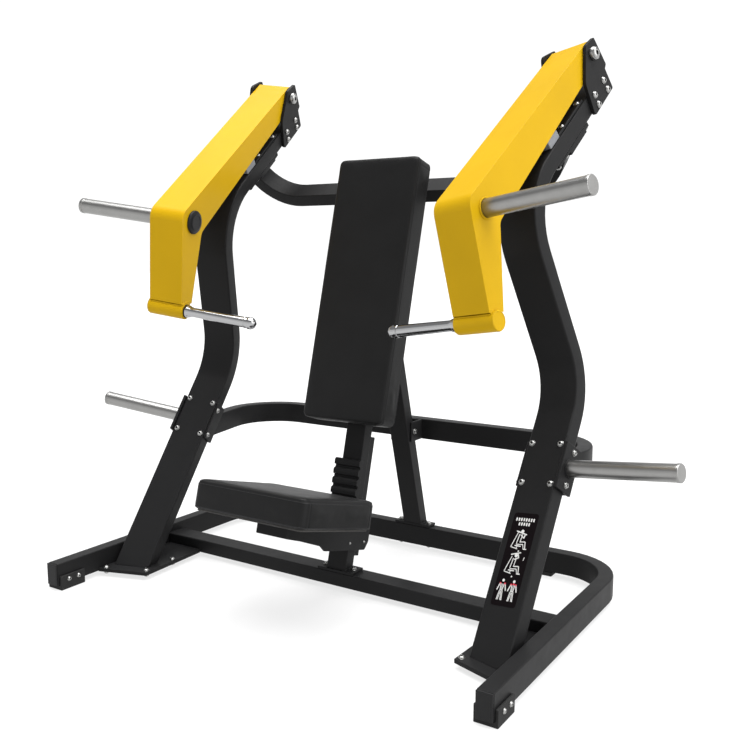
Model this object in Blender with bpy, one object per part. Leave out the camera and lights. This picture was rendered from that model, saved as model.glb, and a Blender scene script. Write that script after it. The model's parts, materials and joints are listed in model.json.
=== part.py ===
"""Plate-loaded shoulder press machine, metres, +X machine right, +Y rear, +Z up, floor at z = 0."""

import math

import bmesh
import bpy
from mathutils import Matrix, Vector

# ---------------------------------------------------------------- driving dimensions
GAP = 0.0003                     # clearance between pieces that touch
RUNNING_GAP = 0.0006             # clearance beside turning faces

TUBE_WIDE = 0.070                # frame tube, broad side
TUBE_NARROW = 0.045              # frame tube, narrow side
TUBE_EDGE = 0.004                # frame tube corner radius

LIFT = 0.015                     # floor to underside of the base tubes
BASE_HALF_WIDTH = 0.765          # outer face of each side leg
BASE_FRONT_Y = -0.840
BASE_REAR_Y = 0.149
BASE_CORNER = 0.170              # centre-line radius of the rear corners
CROSSBAR_Y = -0.3355
CAP_THICK = 0.004
BASE_PLATE_THICK = 0.008         # plates under the seat post and the rear strut
SHOE_WALL = 0.0085
SHOE_HEIGHT = 0.030              # how far the front shoe rises beside the tube
SHOE_LENGTH = 0.090
REAR_FOOT_X = 0.480
REAR_FOOT_LENGTH = 0.090

CENTRE_SHIFT = 0.3477            # moves the depth centre of the base on to y = 0

UPRIGHT_FOOT_X = 0.7744          # where each side plane meets the floor plane on y = 0
TOE_ANGLE = math.radians(12.05)  # side planes converge towards the front
LEAN_ANGLE = math.radians(8.0)   # side planes lean in towards the top
UPRIGHT_WIDTH = 0.1216
UPRIGHT_DEPTH = 0.050
UPRIGHT_LOW_BEND = (-0.1602, 0.6637)
UPRIGHT_HIGH_BEND = (-0.3504, 1.1736)
UPRIGHT_TOP = (0.078, 1.5250)
UPRIGHT_START = (-0.6456, -0.050)
UPRIGHT_LOW_RADIUS = 0.205
UPRIGHT_HIGH_RADIUS = 0.215
FOOT_PLATE_THICK = 0.012
UPRIGHT_EDGE = 0.006             # upright tube corner radius

PIVOT = (0.0096, 1.5996)         # arm pivot in the side plane
PIVOT_BOLT_RADIUS = 0.0150
PIVOT_PLATE_THICK = 0.010
PIVOT_HEAD_RADIUS = 0.0190
PIVOT_HEAD_HEIGHT = 0.011
BUSH_RADIUS = 0.0200
BUSH_CLEARANCE = 0.00012
STOP_HALF_WIDTH = 0.056
STOP_PLATE = (0.130, 0.1755, 0.008)    # distance below the upright's top end, length, thickness
BUMPER = (0.306, 0.062, 0.0235)
ARM_WIDTH = 0.1180
ARM_HUB_RADIUS = 0.0376

ELBOW = (-0.5388, 1.1412)        # plate horn axis in the side plane
SOCKET = (-0.5388, 0.8622)       # handle axis in the side plane
SOCKET_RADIUS = 0.0274
ARM_END_DROP = 0.0213            # how far above the handle axis the arm's end is cut off
HANDLE_RADIUS = 0.0150
HANDLE_END = 0.2924              # ball centre, measured from the arm's mid plane
BALL_RADIUS = 0.0198
HANDLE_NECK = 0.004              # bare length between the socket and the handle's collar
COLLAR_RADIUS = 0.0200
HORN_RADIUS = 0.0237
HORN_DISC_RADIUS = 0.0245
HORN_DISC_THICK = 0.010
HORN_END = 0.3605
STORAGE_HORN = (-0.2932, 0.4494)
STORAGE_HORN_END = 0.387

MID_BAR_Y = 0.120
MID_BAR_Z = 0.423 + LIFT
MID_BAR_CORNER_X = 0.706
MID_BAR_RADIUS = 0.168
UPPER_BAR_Y = 0.040
UPPER_BAR_Z = 1.229 + LIFT
UPPER_BAR_TILT = math.radians(51.0)
UPPER_BAR_CORNER_X = 0.5455
UPPER_BAR_RADIUS = 0.162
WEB_THICK = 0.008                # saddle web behind the upright
INNER_CHEEK = 0.006              # saddle cheek thickness, towards the seat
OUTER_CHEEK = 0.010              # saddle cheek thickness, under the storage horn
MID_SADDLE_AT = -0.255           # middle of the saddle, measured up the upright from the low bend
MID_SADDLE_LENGTH = 0.132
INNER_CHEEK_FRONT = -0.022       # cheek edges, measured rearward from the upright's centre line
OUTER_CHEEK_FRONT = -0.030
OUTER_CHEEK_REAR = 0.042
UPPER_SADDLE_HALF_WIDTH = 0.0585
UPPER_SADDLE_REACH = 0.0433      # rear face of the upper saddle behind the upright's centre line

RECLINE = math.radians(15.05)    # lean of the seat post and back pad
POST_FORWARD = 0.3436            # post centre line, along the reclined frame's forward axis
POST_TOP = 1.190
BRACKET_HALF_WIDTH = 0.075
BRACKET_HEIGHT = 0.060
BACK_PAD_WIDTH = 0.302
BACK_PAD_LOW = 0.410
BACK_PAD_HIGH = 1.252
BACK_PAD_FRONT = 0.4624
BACK_PAD_THICK = 0.085
BOARD_THICK = 0.005
BOARD_INSET = 0.012              # pad edge to board edge, all round
PAD_CORNER = 0.020
SEAT_WIDTH = 0.390
SEAT_REAR = 0.495
SEAT_LENGTH = 0.349
SEAT_UNDERSIDE = 0.1049
SEAT_PAD_THICK = 0.085
RACK_WIDTH = 0.094
RACK_THICK = 0.022
RACK_TOP = 0.3007
RACK_LOW = 0.030
RACK_PITCH = 0.030
RACK_TOOTH = 0.009               # tooth depth
RIB_HALF_WIDTH = 0.0225
RIB_DEPTH = 0.041
RIB_TOP = 0.379
CARRIAGE_INSIDE = 0.0480
CARRIAGE_WALL = 0.006
CARRIAGE_FRONT = 0.7150
PULL_PIN = (0.345, 0.052)        # forward and up in the reclined frame
PULL_PIN_SIDE = -1               # the pin is on the machine's left

STRUT_TILT = 0.275               # forward run per unit of height
STRUT_AT = (0.0834, 0.240 + LIFT)
STRUT_BRACKET_WALL = 0.006

STEEL_BLACK = ((0.050, 0.050, 0.052), 0.35, 0.42)
STEEL_DARK = ((0.022, 0.022, 0.023), 0.40, 0.45)
PAINT_YELLOW = ((0.855, 0.560, 0.045), 0.05, 0.33)
STEEL_SATIN = ((0.46, 0.455, 0.44), 0.90, 0.34)
CHROME = ((0.72, 0.73, 0.75), 1.00, 0.10)
UPHOLSTERY = ((0.026, 0.026, 0.027), 0.00, 0.46)
PLYWOOD = ((0.030, 0.030, 0.030), 0.00, 0.70)
RUBBER_BLACK = ((0.014, 0.014, 0.014), 0.00, 0.72)
RUBBER_GREY = ((0.230, 0.235, 0.245), 0.00, 0.60)
PLASTIC_BLACK = ((0.018, 0.018, 0.019), 0.00, 0.50)
BRONZE = ((0.50, 0.34, 0.16), 0.85, 0.35)


# ---------------------------------------------------------------- scene helpers
def clear_scene():
    for item in list(bpy.data.objects):
        bpy.data.objects.remove(item, do_unlink=True)


def make_material(name, finish):
    colour, metallic, roughness = finish
    material = bpy.data.materials.new(name)
    material.use_nodes = True
    shader = material.node_tree.nodes["Principled BSDF"]
    shader.inputs["Base Color"].default_value = (*colour, 1.0)
    shader.inputs["Metallic"].default_value = metallic
    shader.inputs["Roughness"].default_value = roughness
    return material


def add_empty(name, parent=None, location=(0, 0, 0), rotation=(0, 0, 0)):
    empty = bpy.data.objects.new(name, None)
    bpy.context.collection.objects.link(empty)
    empty.parent = parent
    empty.location = location
    empty.rotation_euler = rotation
    return empty


def add_part(name, bm, finish, parent=None, bevel=0.0, segments=2, smooth=False):
    bmesh.ops.remove_doubles(bm, verts=bm.verts, dist=0.00005)
    bmesh.ops.recalc_face_normals(bm, faces=bm.faces)
    if smooth:
        for face in bm.faces:
            face.smooth = len(face.verts) < 6
    mesh = bpy.data.meshes.new(name)
    bm.to_mesh(mesh)
    bm.free()
    part = bpy.data.objects.new(name, mesh)
    bpy.context.collection.objects.link(part)
    part.data.materials.append(make_material(name + "_finish", finish))
    part.parent = parent
    if bevel > 0:
        rounding = part.modifiers.new("edge_rounding", "BEVEL")
        rounding.width = bevel
        rounding.segments = segments
        rounding.limit_method = "ANGLE"
        rounding.angle_limit = math.radians(35)
    return part


# ---------------------------------------------------------------- shape helpers
def arc_points(centre, radius, start, end, steps):
    turns = [start + (end - start) * i / steps for i in range(steps + 1)]
    return [(centre[0] + radius * math.cos(t), centre[1] + radius * math.sin(t)) for t in turns]


def rounded_path(points, radii, steps=8, closed=False):
    """Points joined by straight lines, with a round of the given radius at each corner."""
    count = len(points)
    corners = range(count) if closed else range(1, count - 1)
    path = [] if closed else [points[0]]
    for i in corners:
        here = Vector(points[i])
        before = (Vector(points[i - 1]) - here).normalized()
        after = (Vector(points[(i + 1) % count]) - here).normalized()
        radius = radii[i % len(radii)]
        half = before.angle(after) / 2
        if radius <= 0:
            path.append(tuple(here))
            continue
        reach = radius / math.tan(half)
        centre = here + (before + after).normalized() * radius / math.sin(half)
        first = here + before * reach - centre
        sweep = first.angle_signed(here + after * reach - centre)
        for k in range(steps + 1):
            spoke = first.copy()
            spoke.rotate(Matrix.Rotation(-sweep * k / steps, 2))
            path.append(tuple(centre + spoke))
    if not closed:
        path.append(points[-1])
    return path


def ribbon(path, half_width):
    """Outline of a strip of constant width along a path."""
    sides = ([], [])
    for i, point in enumerate(path):
        before = Vector(point) - Vector(path[max(i - 1, 0)])
        after = Vector(path[min(i + 1, len(path) - 1)]) - Vector(point)
        along = (before.normalized() + after.normalized()).normalized()
        square = Vector((-along.y, along.x))
        widen = 1.0
        if before.length > 0 and after.length > 0:
            widen = 1 / math.cos(before.angle(after) / 2)
        sides[0].append(tuple(Vector(point) + square * half_width * widen))
        sides[1].append(tuple(Vector(point) - square * half_width * widen))
    return sides[0] + sides[1][::-1]


def place(point, level, axis):
    if axis == "X":
        return (level, point[0], point[1])
    return (point[0], point[1], level)


def prism(outline, low, high, axis, holes=()):
    """A flat outline, with optional holes, drawn out between two levels of an axis."""
    bm = bmesh.new()
    edges = []
    for loop in (outline, *holes):
        verts = [bm.verts.new(place(p, low, axis)) for p in loop]
        edges += [bm.edges.new((verts[i - 1], verts[i])) for i in range(len(verts))]
    bmesh.ops.triangle_fill(bm, edges=edges, use_beauty=True, use_dissolve=False)
    drawn = bmesh.ops.extrude_face_region(bm, geom=list(bm.faces))
    moved = [item for item in drawn["geom"] if isinstance(item, bmesh.types.BMVert)]
    shift = Vector(place((0, 0), high - low, axis))
    bmesh.ops.translate(bm, verts=moved, vec=shift)
    return bm


def box(low, high):
    corners = [(low[0], low[1]), (high[0], low[1]), (high[0], high[1]), (low[0], high[1])]
    return prism(corners, low[2], high[2], "Z")


def cut_away(bm, point, normal, side=0):
    """Remove what lies beyond a plane and close the cut; side limits it to one half of the machine."""
    edges = [e for e in bm.edges if all(side * v.co.x >= 0 for v in e.verts)]
    faces = [f for f in bm.faces if all(side * v.co.x >= 0 for v in f.verts)]
    geometry = [v for v in bm.verts if side * v.co.x >= 0] + edges + faces
    bmesh.ops.bisect_plane(bm, geom=geometry, dist=0.000001, plane_co=point,
                           plane_no=normal, clear_outer=True)
    rim = [edge for edge in bm.edges if edge.is_boundary]
    bmesh.ops.holes_fill(bm, edges=rim, sides=0)


def lathe(profile, steps=24, closed=False):
    """Turn a profile of (radius, distance) pairs about the X axis."""
    bm = bmesh.new()
    rings = []
    for radius, distance in profile:
        turn = [2 * math.pi * i / steps for i in range(steps)]
        ring = [bm.verts.new((distance, radius * math.cos(t), radius * math.sin(t))) for t in turn]
        rings.append(ring)
    joins = list(zip(rings, rings[1:]))
    if closed:
        joins.append((rings[-1], rings[0]))
    for ring, following in joins:
        for i in range(steps):
            j = (i + 1) % steps
            bm.faces.new((ring[i], ring[j], following[j], following[i]))
    if not closed:
        bm.faces.new(rings[0])
        bm.faces.new(rings[-1])
    return bm


def shifted(bm, offset):
    bmesh.ops.translate(bm, verts=bm.verts, vec=Vector(offset))
    return bm


# ---------------------------------------------------------------- frames of reference
def side_frame(name, side):
    """Upright plane: local X across the machine, local Y rearward, local Z up the plane."""
    return add_empty(name + "_side_frame", None, (side * UPRIGHT_FOOT_X, 0, LIFT),
                     (0, -side * LEAN_ANGLE, -side * TOE_ANGLE))


def side_matrix(side):
    turn = Matrix.Rotation(-side * TOE_ANGLE, 4, "Z") @ Matrix.Rotation(-side * LEAN_ANGLE, 4, "Y")
    return Matrix.Translation((side * UPRIGHT_FOOT_X, 0, LIFT)) @ turn


def lower_direction():
    start = Vector((0, *UPRIGHT_START))
    return (Vector((0, *UPRIGHT_LOW_BEND)) - start).normalized()


def upper_direction():
    start = Vector((0, *UPRIGHT_HIGH_BEND))
    return (Vector((0, *UPRIGHT_TOP)) - start).normalized()


def rearward(direction):
    """Normal of the upright's rear face for a given run of the upright."""
    return Vector((0, direction.z, -direction.y))


# ---------------------------------------------------------------- base
def build_base():
    middle = BASE_HALF_WIDTH - TUBE_NARROW / 2
    rear = BASE_REAR_Y - TUBE_NARROW / 2
    corners = [(-middle, BASE_FRONT_Y), (-middle, rear), (middle, rear), (middle, BASE_FRONT_Y)]
    path = rounded_path(corners, [BASE_CORNER], steps=10)
    add_part("base_frame", prism(ribbon(path, TUBE_NARROW / 2), LIFT, LIFT + TUBE_WIDE, "Z"),
             STEEL_BLACK, bevel=TUBE_EDGE)

    inner = BASE_HALF_WIDTH - TUBE_NARROW - GAP
    half = TUBE_WIDE / 2
    add_part("front_crossbar",
             box((-inner, CROSSBAR_Y - half, LIFT), (inner, CROSSBAR_Y + half, LIFT + TUBE_NARROW)),
             STEEL_BLACK, bevel=TUBE_EDGE)

    for name, side in (("left", -1), ("right", 1)):
        build_leg_fittings(name, side, middle, rear)
        build_foot_plate(name, side, inner)


def build_leg_fittings(name, side, middle, rear):
    half = TUBE_NARROW / 2
    xs = sorted((side * (middle - half), side * (middle + half)))
    cap = box((xs[0] + 0.001, BASE_FRONT_Y - CAP_THICK - GAP, LIFT + 0.001),
              (xs[1] - 0.001, BASE_FRONT_Y - GAP, LIFT + TUBE_WIDE - 0.001))
    add_part(name + "_end_cap", cap, PLASTIC_BLACK, bevel=0.0012)

    top = LIFT + SHOE_HEIGHT
    left = xs[0] - SHOE_WALL
    right = xs[1] + SHOE_WALL
    outline = [(left, 0), (right, 0), (right, top), (xs[1] + GAP, top), (xs[1] + GAP, LIFT - GAP),
               (xs[0] - GAP, LIFT - GAP), (xs[0] - GAP, top), (left, top)]
    shoe_front = BASE_FRONT_Y + 0.006
    shoe = prism(outline, shoe_front, shoe_front + SHOE_LENGTH, "Z")
    bmesh.ops.transform(shoe, verts=shoe.verts, matrix=Matrix(
        ((1, 0, 0, 0), (0, 0, 1, 0), (0, 1, 0, 0), (0, 0, 0, 1))))
    add_part(name + "_front_shoe", shoe, RUBBER_BLACK, bevel=0.0015, segments=1)

    foot_low = (side * REAR_FOOT_X - REAR_FOOT_LENGTH / 2, rear - 0.021, 0)
    foot_high = (side * REAR_FOOT_X + REAR_FOOT_LENGTH / 2, rear + 0.021, LIFT - GAP)
    foot = box(foot_low, foot_high)
    add_part(name + "_rear_foot", foot, RUBBER_BLACK, bevel=0.003)


def build_foot_plate(name, side, inner):
    rear = CROSSBAR_Y - TUBE_WIDE / 2 - GAP
    outline = [(side * inner, -0.685), (side * 0.556, -0.631), (side * 0.570, rear), (side * inner, rear)]
    plate = prism(outline, LIFT, LIFT + FOOT_PLATE_THICK, "Z")
    add_part(name + "_foot_plate", plate, STEEL_DARK, bevel=0.0015)


# ---------------------------------------------------------------- uprights and crossbars
def build_upright(name, side, frame):
    points = [UPRIGHT_START, UPRIGHT_LOW_BEND, UPRIGHT_HIGH_BEND, UPRIGHT_TOP]
    path = rounded_path(points, [0, UPRIGHT_LOW_RADIUS, UPRIGHT_HIGH_RADIUS, 0], steps=10)
    half = UPRIGHT_WIDTH / 2
    bm = prism(ribbon(path, UPRIGHT_DEPTH / 2), -half, half, "X")
    back = side_matrix(side).inverted()
    floor = back @ Vector((0, 0, LIFT + FOOT_PLATE_THICK + GAP))
    cut_away(bm, floor, -(back.to_3x3() @ Vector((0, 0, 1))))
    add_part(name + "_upright", bm, STEEL_BLACK, frame, bevel=UPRIGHT_EDGE, segments=2)


def build_mid_saddle(name, side, frame):
    """Clamp of two cheeks beside the upright, the outer one heavier, joined by a web behind it."""
    inside = UPRIGHT_WIDTH / 2 + GAP
    inner = inside + INNER_CHEEK
    outer = inside + OUTER_CHEEK
    rear = UPRIGHT_DEPTH / 2 + GAP
    web = rear + WEB_THICK
    section = [(-inner, INNER_CHEEK_FRONT), (-inside, INNER_CHEEK_FRONT), (-inside, rear), (inside, rear),
               (inside, OUTER_CHEEK_FRONT), (outer, OUTER_CHEEK_FRONT), (outer, OUTER_CHEEK_REAR),
               (inside, OUTER_CHEEK_REAR), (inside, web), (-inner, web)]
    section = [(side * across, behind) for across, behind in section]
    bm = prism(section, -MID_SADDLE_LENGTH / 2, MID_SADDLE_LENGTH / 2, "Z")
    direction = lower_direction()
    centre = Vector((0, *UPRIGHT_LOW_BEND)) + direction * MID_SADDLE_AT
    tilt = math.atan2(direction.y, direction.z)
    place_it = Matrix.Translation(centre) @ Matrix.Rotation(-tilt, 4, "X")
    bmesh.ops.transform(bm, verts=bm.verts, matrix=place_it)
    add_part(name + "_mid_saddle", bm, STEEL_DARK, frame, bevel=0.0015, segments=1)


def build_upper_saddle(name, frame):
    """Stepped plate bolted to the upright's rear face; the crossbar ends on its thick middle."""
    near = UPRIGHT_DEPTH / 2 + GAP
    profile = [(0.178, near), (0.395, near), (0.395, 0.0373), (0.372, 0.0373), (0.372, UPPER_SADDLE_REACH),
               (0.257, UPPER_SADDLE_REACH), (0.257, 0.0333), (0.178, 0.0333)]
    direction = upper_direction()
    behind = rearward(direction)
    start = Vector((0, *UPRIGHT_HIGH_BEND))
    points = [start + direction * along + behind * reach for along, reach in profile]
    half = UPPER_SADDLE_HALF_WIDTH
    bm = prism([(p.y, p.z) for p in points], -half, half, "X")
    add_part(name + "_upper_saddle", bm, STEEL_DARK, frame, bevel=0.0015, segments=1)


def saddle_plane(side, point, direction, reach):
    """World plane just behind a saddle's rear face, where the crossbar ends."""
    normal = rearward(direction)
    matrix = side_matrix(side)
    return matrix @ (Vector((0, *point)) + normal * reach), matrix.to_3x3() @ normal


def trim_to_saddles(bm, point, direction, reach, inverse=None):
    for side in (-1, 1):
        where, normal = saddle_plane(side, point, direction, reach)
        if inverse is not None:
            where = inverse @ where
            normal = inverse.to_3x3() @ normal
        cut_away(bm, where, -normal, side)


def build_mid_crossbar():
    end = (MID_BAR_CORNER_X - 0.42 * math.tan(TOE_ANGLE), MID_BAR_Y - 0.42)
    corner = (MID_BAR_CORNER_X, MID_BAR_Y)
    points = [(-end[0], end[1]), (-corner[0], corner[1]), corner, end]
    path = rounded_path(points, [MID_BAR_RADIUS], steps=10)
    half = TUBE_WIDE / 2
    bm = prism(ribbon(path, TUBE_NARROW / 2), MID_BAR_Z - half, MID_BAR_Z + half, "Z")
    trim_to_saddles(bm, UPRIGHT_LOW_BEND, lower_direction(), UPRIGHT_DEPTH / 2 + WEB_THICK + 2 * GAP)
    add_part("mid_crossbar", bm, STEEL_BLACK, bevel=TUBE_EDGE)


def build_upper_crossbar():
    """U bent in a plane that drops to the rear, square to the uprights' upper run."""
    frame = add_empty("upper_crossbar_frame", None, (0, UPPER_BAR_Y, UPPER_BAR_Z), (-UPPER_BAR_TILT, 0, 0))
    reach = 0.26
    end = (UPPER_BAR_CORNER_X + reach * math.tan(math.radians(12)), -reach)
    corner = (UPPER_BAR_CORNER_X, 0)
    points = [(-end[0], end[1]), (-corner[0], corner[1]), corner, end]
    path = rounded_path(points, [UPPER_BAR_RADIUS], steps=10)
    bm = prism(ribbon(path, TUBE_NARROW / 2), -TUBE_WIDE / 2, TUBE_WIDE / 2, "Z")
    place_it = Matrix.Translation((0, UPPER_BAR_Y, UPPER_BAR_Z)) @ Matrix.Rotation(-UPPER_BAR_TILT, 4, "X")
    trim_to_saddles(bm, UPRIGHT_HIGH_BEND, upper_direction(), UPPER_SADDLE_REACH + GAP, place_it.inverted())
    add_part("upper_crossbar", bm, STEEL_BLACK, frame, bevel=TUBE_EDGE)


# ---------------------------------------------------------------- pivots, stops and horns
def pivot_plate_outline(front_corner):
    return rounded_path(
        [front_corner, (0.024, 1.650), (0.081, 1.5815), (0.0735, 1.567), (0.110, 1.5165),
         (-0.002, 1.4215), (-0.0405, 1.508)],
        [0.020, 0.006, 0.006, 0.003, 0.006, 0.008, 0.030], steps=4, closed=True)


def build_pivot(name, side, frame):
    """Two plates and the bolt; plates on the machine's left have a fuller front corner."""
    hole = arc_points(PIVOT, PIVOT_BOLT_RADIUS + GAP, 0, 2 * math.pi, 24)[:-1]
    near = UPRIGHT_WIDTH / 2 + GAP
    far = near + PIVOT_PLATE_THICK
    for place_name, out in (("outer", side), ("inner", -side)):
        levels = sorted((out * near, out * far))
        outline = pivot_plate_outline((-0.022, 1.620) if out > 0 else (-0.0405, 1.622))
        plate = prism(outline, levels[0], levels[1], "X", holes=[hole])
        add_part(name + "_" + place_name + "_pivot_plate", plate, STEEL_DARK, frame)

    head = far + GAP
    end = head + PIVOT_HEAD_HEIGHT
    rim = PIVOT_HEAD_RADIUS
    shank = PIVOT_BOLT_RADIUS
    half_profile = [(shank, head), (rim, head), (rim, end - 0.003), (rim - 0.0025, end)]
    profile = [(radius, -x) for radius, x in reversed(half_profile)] + half_profile
    bolt = shifted(lathe(profile), (0, *PIVOT))
    add_part(name + "_pivot_bolt", bolt, STEEL_SATIN, frame, smooth=True)


def build_stop(name, frame):
    """Plate bolted to the upright's front face, and the rubber block below it."""
    along = upper_direction()
    out = -rearward(along)
    face = Vector((0, *UPRIGHT_TOP)) + out * (UPRIGHT_DEPTH / 2 + GAP)

    def block(start, length, thick):
        near = face - along * start
        far = near - along * length
        shape = [near, near + out * thick, far + out * thick, far]
        return prism([(p.y, p.z) for p in shape], -STOP_HALF_WIDTH, STOP_HALF_WIDTH, "X")

    add_part(name + "_stop_plate", block(*STOP_PLATE), STEEL_DARK, frame, bevel=0.001, segments=1)
    add_part(name + "_bumper", block(*BUMPER), RUBBER_GREY, frame, bevel=0.003)


def horn_profile(start, end):
    """Plain tube with a shallow disc at its outer end."""
    disc = end - HORN_DISC_THICK
    edge = 0.0015
    return [(HORN_RADIUS, start), (HORN_RADIUS, disc), (HORN_DISC_RADIUS, disc),
            (HORN_DISC_RADIUS, end - edge), (HORN_DISC_RADIUS - edge, end)]


def add_turned(name, profile, side, centre, finish, frame, steps=24):
    profile = [(radius, side * distance) for radius, distance in profile]
    add_part(name, shifted(lathe(profile, steps), (0, *centre)), finish, frame, smooth=True)


# ---------------------------------------------------------------- arms
def arm_outline():
    seat = SOCKET_RADIUS + GAP
    end = SOCKET[1] + ARM_END_DROP
    spread = math.acos(ARM_END_DROP / seat)
    hub = arc_points(PIVOT, ARM_HUB_RADIUS, math.radians(100.3), math.radians(-48.4), 12)
    saddle = arc_points(SOCKET, seat, math.pi / 2 - spread, math.pi / 2 + spread, 8)
    underside = rounded_path([hub[-1], (-0.4855, 1.1103), (-0.5060, end)], [0.030], steps=5)
    front = rounded_path([(-0.5645, end), (-0.6037, 1.1628), hub[0]], [0.045], steps=6)
    return hub + underside[1:] + saddle + front[:-1]


def build_arm(name, side, frame):
    pivot_frame = add_empty(name + "_arm_pivot", frame, (0, *PIVOT))
    half = ARM_WIDTH / 2
    bore = arc_points(PIVOT, BUSH_RADIUS + GAP, 0, 2 * math.pi, 24)[:-1]
    to_pivot = (0, -PIVOT[0], -PIVOT[1])

    arm = shifted(prism(arm_outline(), -half, half, "X", holes=[bore]), to_pivot)
    add_part(name + "_arm", arm, PAINT_YELLOW, pivot_frame, bevel=0.003)

    reach = UPRIGHT_WIDTH / 2 + GAP - RUNNING_GAP
    inner = PIVOT_BOLT_RADIUS + BUSH_CLEARANCE
    sleeve = [(BUSH_RADIUS, -reach), (BUSH_RADIUS, reach), (inner, reach), (inner, -reach)]
    add_part(name + "_pivot_bush", lathe(sleeve, 24, closed=True), BRONZE, pivot_frame, smooth=True)

    elbow = (ELBOW[0] - PIVOT[0], ELBOW[1] - PIVOT[1])
    socket = (SOCKET[0] - PIVOT[0], SOCKET[1] - PIVOT[1])
    tube = [(SOCKET_RADIUS - 0.002, -0.062), (SOCKET_RADIUS, -0.060), (SOCKET_RADIUS, 0.064),
            (SOCKET_RADIUS - 0.002, 0.066)]
    add_turned(name + "_handle_socket", tube, side, socket, PAINT_YELLOW, pivot_frame)

    start = 0.062 + GAP
    ball = BALL_RADIUS
    knob = [(ball * math.sin(t), HANDLE_END - ball * math.cos(t))
            for t in (math.pi * k / 9 for k in range(3, 9))]
    knob.append((ball * 0.12, HANDLE_END + ball * 0.99))
    collar = start + HANDLE_NECK
    handle = [(HANDLE_RADIUS, start), (HANDLE_RADIUS, collar), (COLLAR_RADIUS, collar),
              (COLLAR_RADIUS, collar + 0.006), (HANDLE_RADIUS, collar + 0.022)] + knob
    add_turned(name + "_handle", handle, -side, socket, CHROME, pivot_frame)

    horn = horn_profile(half + GAP, HORN_END)
    add_turned(name + "_weight_horn", horn, side, elbow, STEEL_SATIN, pivot_frame)
    cap = [(0.0364, half + GAP), (0.0364, half + 0.005), (0.034, half + 0.0085), (0.020, half + 0.0105)]
    add_turned(name + "_horn_cap", cap, -side, elbow, PLASTIC_BLACK, pivot_frame)


# ---------------------------------------------------------------- post, strut and pads
def reclined(forward, up):
    """Point of the reclined frame as local (y, z)."""
    return (-forward, up)


def recline_box(half_width, forward, up):
    return box((-half_width, -forward[1], up[0]), (half_width, -forward[0], up[1]))


def build_post(frame):
    half = TUBE_NARROW / 2
    bm = recline_box(TUBE_WIDE / 2, (POST_FORWARD - half, POST_FORWARD + half), (-0.08, POST_TOP))
    floor = LIFT + TUBE_NARROW + BASE_PLATE_THICK + 2 * GAP
    back = recline_matrix().inverted()
    cut_away(bm, back @ Vector((0, 0, floor)), -(back.to_3x3() @ Vector((0, 0, 1))))
    add_part("seat_post", bm, STEEL_BLACK, frame, bevel=TUBE_EDGE)

    y = CROSSBAR_Y - 0.004
    plate = box((-0.066, y - 0.031, LIFT + TUBE_NARROW + GAP), (0.066, y + 0.031, floor - GAP))
    add_part("post_foot_plate", plate, STEEL_DARK, bevel=0.0015)

    face = POST_FORWARD + half + GAP
    add_part("ratchet_rack", build_rack(face), STEEL_DARK, frame)
    rear = POST_FORWARD - half - GAP
    rib = recline_box(RIB_HALF_WIDTH, (rear - RIB_DEPTH, rear), (0, RIB_TOP))
    add_part("post_rib", rib, STEEL_DARK, frame, bevel=0.002)


def build_rack(face):
    """Saw-toothed bar: round-nosed teeth with a slot under each."""
    crest = face + RACK_THICK
    root = crest - RACK_TOOTH
    outline = [reclined(face, RACK_LOW), reclined(face, RACK_TOP)]
    count = int((RACK_TOP - RACK_LOW) / RACK_PITCH)
    for i in range(count):
        top = RACK_TOP - i * RACK_PITCH
        nose = [reclined(crest - 0.006, top), reclined(crest - 0.001, top - 0.004),
                reclined(crest, top - 0.010), reclined(crest - 0.001, top - 0.020)]
        slot = [reclined(root, top - 0.022), reclined(root, top - RACK_PITCH + 0.001)]
        outline += nose + slot
    outline.append(reclined(root, RACK_LOW))
    return prism(outline, -RACK_WIDTH / 2, RACK_WIDTH / 2, "X")


def recline_matrix():
    return Matrix.Translation((0, 0, LIFT)) @ Matrix.Rotation(-RECLINE, 4, "X")


def build_strut():
    half = TUBE_NARROW / 2

    def at(z):
        return (STRUT_AT[0] - STRUT_TILT * (z - STRUT_AT[1]), z)

    bm = prism(ribbon([at(0.0), at(1.15)], half), -TUBE_WIDE / 2, TUBE_WIDE / 2, "X")
    floor = LIFT + TUBE_WIDE + BASE_PLATE_THICK + 2 * GAP
    cut_away(bm, Vector((0, 0, floor)), Vector((0, 0, -1)))
    matrix = recline_matrix()
    post_rear = matrix @ Vector((0, -(POST_FORWARD - half - GAP), 0.9))
    cut_away(bm, post_rear, matrix.to_3x3() @ Vector((0, -1, 0)))
    add_part("rear_strut", bm, STEEL_BLACK, bevel=TUBE_EDGE)

    middle = BASE_REAR_Y - half
    plate = box((-0.070, middle - 0.0225, LIFT + TUBE_WIDE + GAP), (0.070, middle + 0.0225, floor - GAP))
    add_part("strut_foot_plate", plate, STEEL_DARK, bevel=0.0015)

    inside = TUBE_WIDE / 2 + GAP
    outside = inside + STRUT_BRACKET_WALL
    rear = MID_BAR_Y - half - GAP
    front = at(MID_BAR_Z)[0] - STRUT_BRACKET_WALL
    web = rear - STRUT_BRACKET_WALL
    outline = [(-outside, front), (-inside, front), (-inside, web), (inside, web), (inside, front),
               (outside, front), (outside, rear), (-outside, rear)]
    bracket = prism(outline, MID_BAR_Z - 0.034, MID_BAR_Z + 0.034, "Z")
    add_part("strut_bracket", bracket, STEEL_DARK, bevel=0.0012, segments=1)


def pad_outline(width, depth, inset=0.0):
    """Pad seen square on, its near edge on zero; inset draws it smaller all round."""
    side = width / 2 - inset
    return rounded_path([(-side, inset), (side, inset), (side, depth - inset), (-side, depth - inset)],
                        [PAD_CORNER - inset], steps=4, closed=True)


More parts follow.
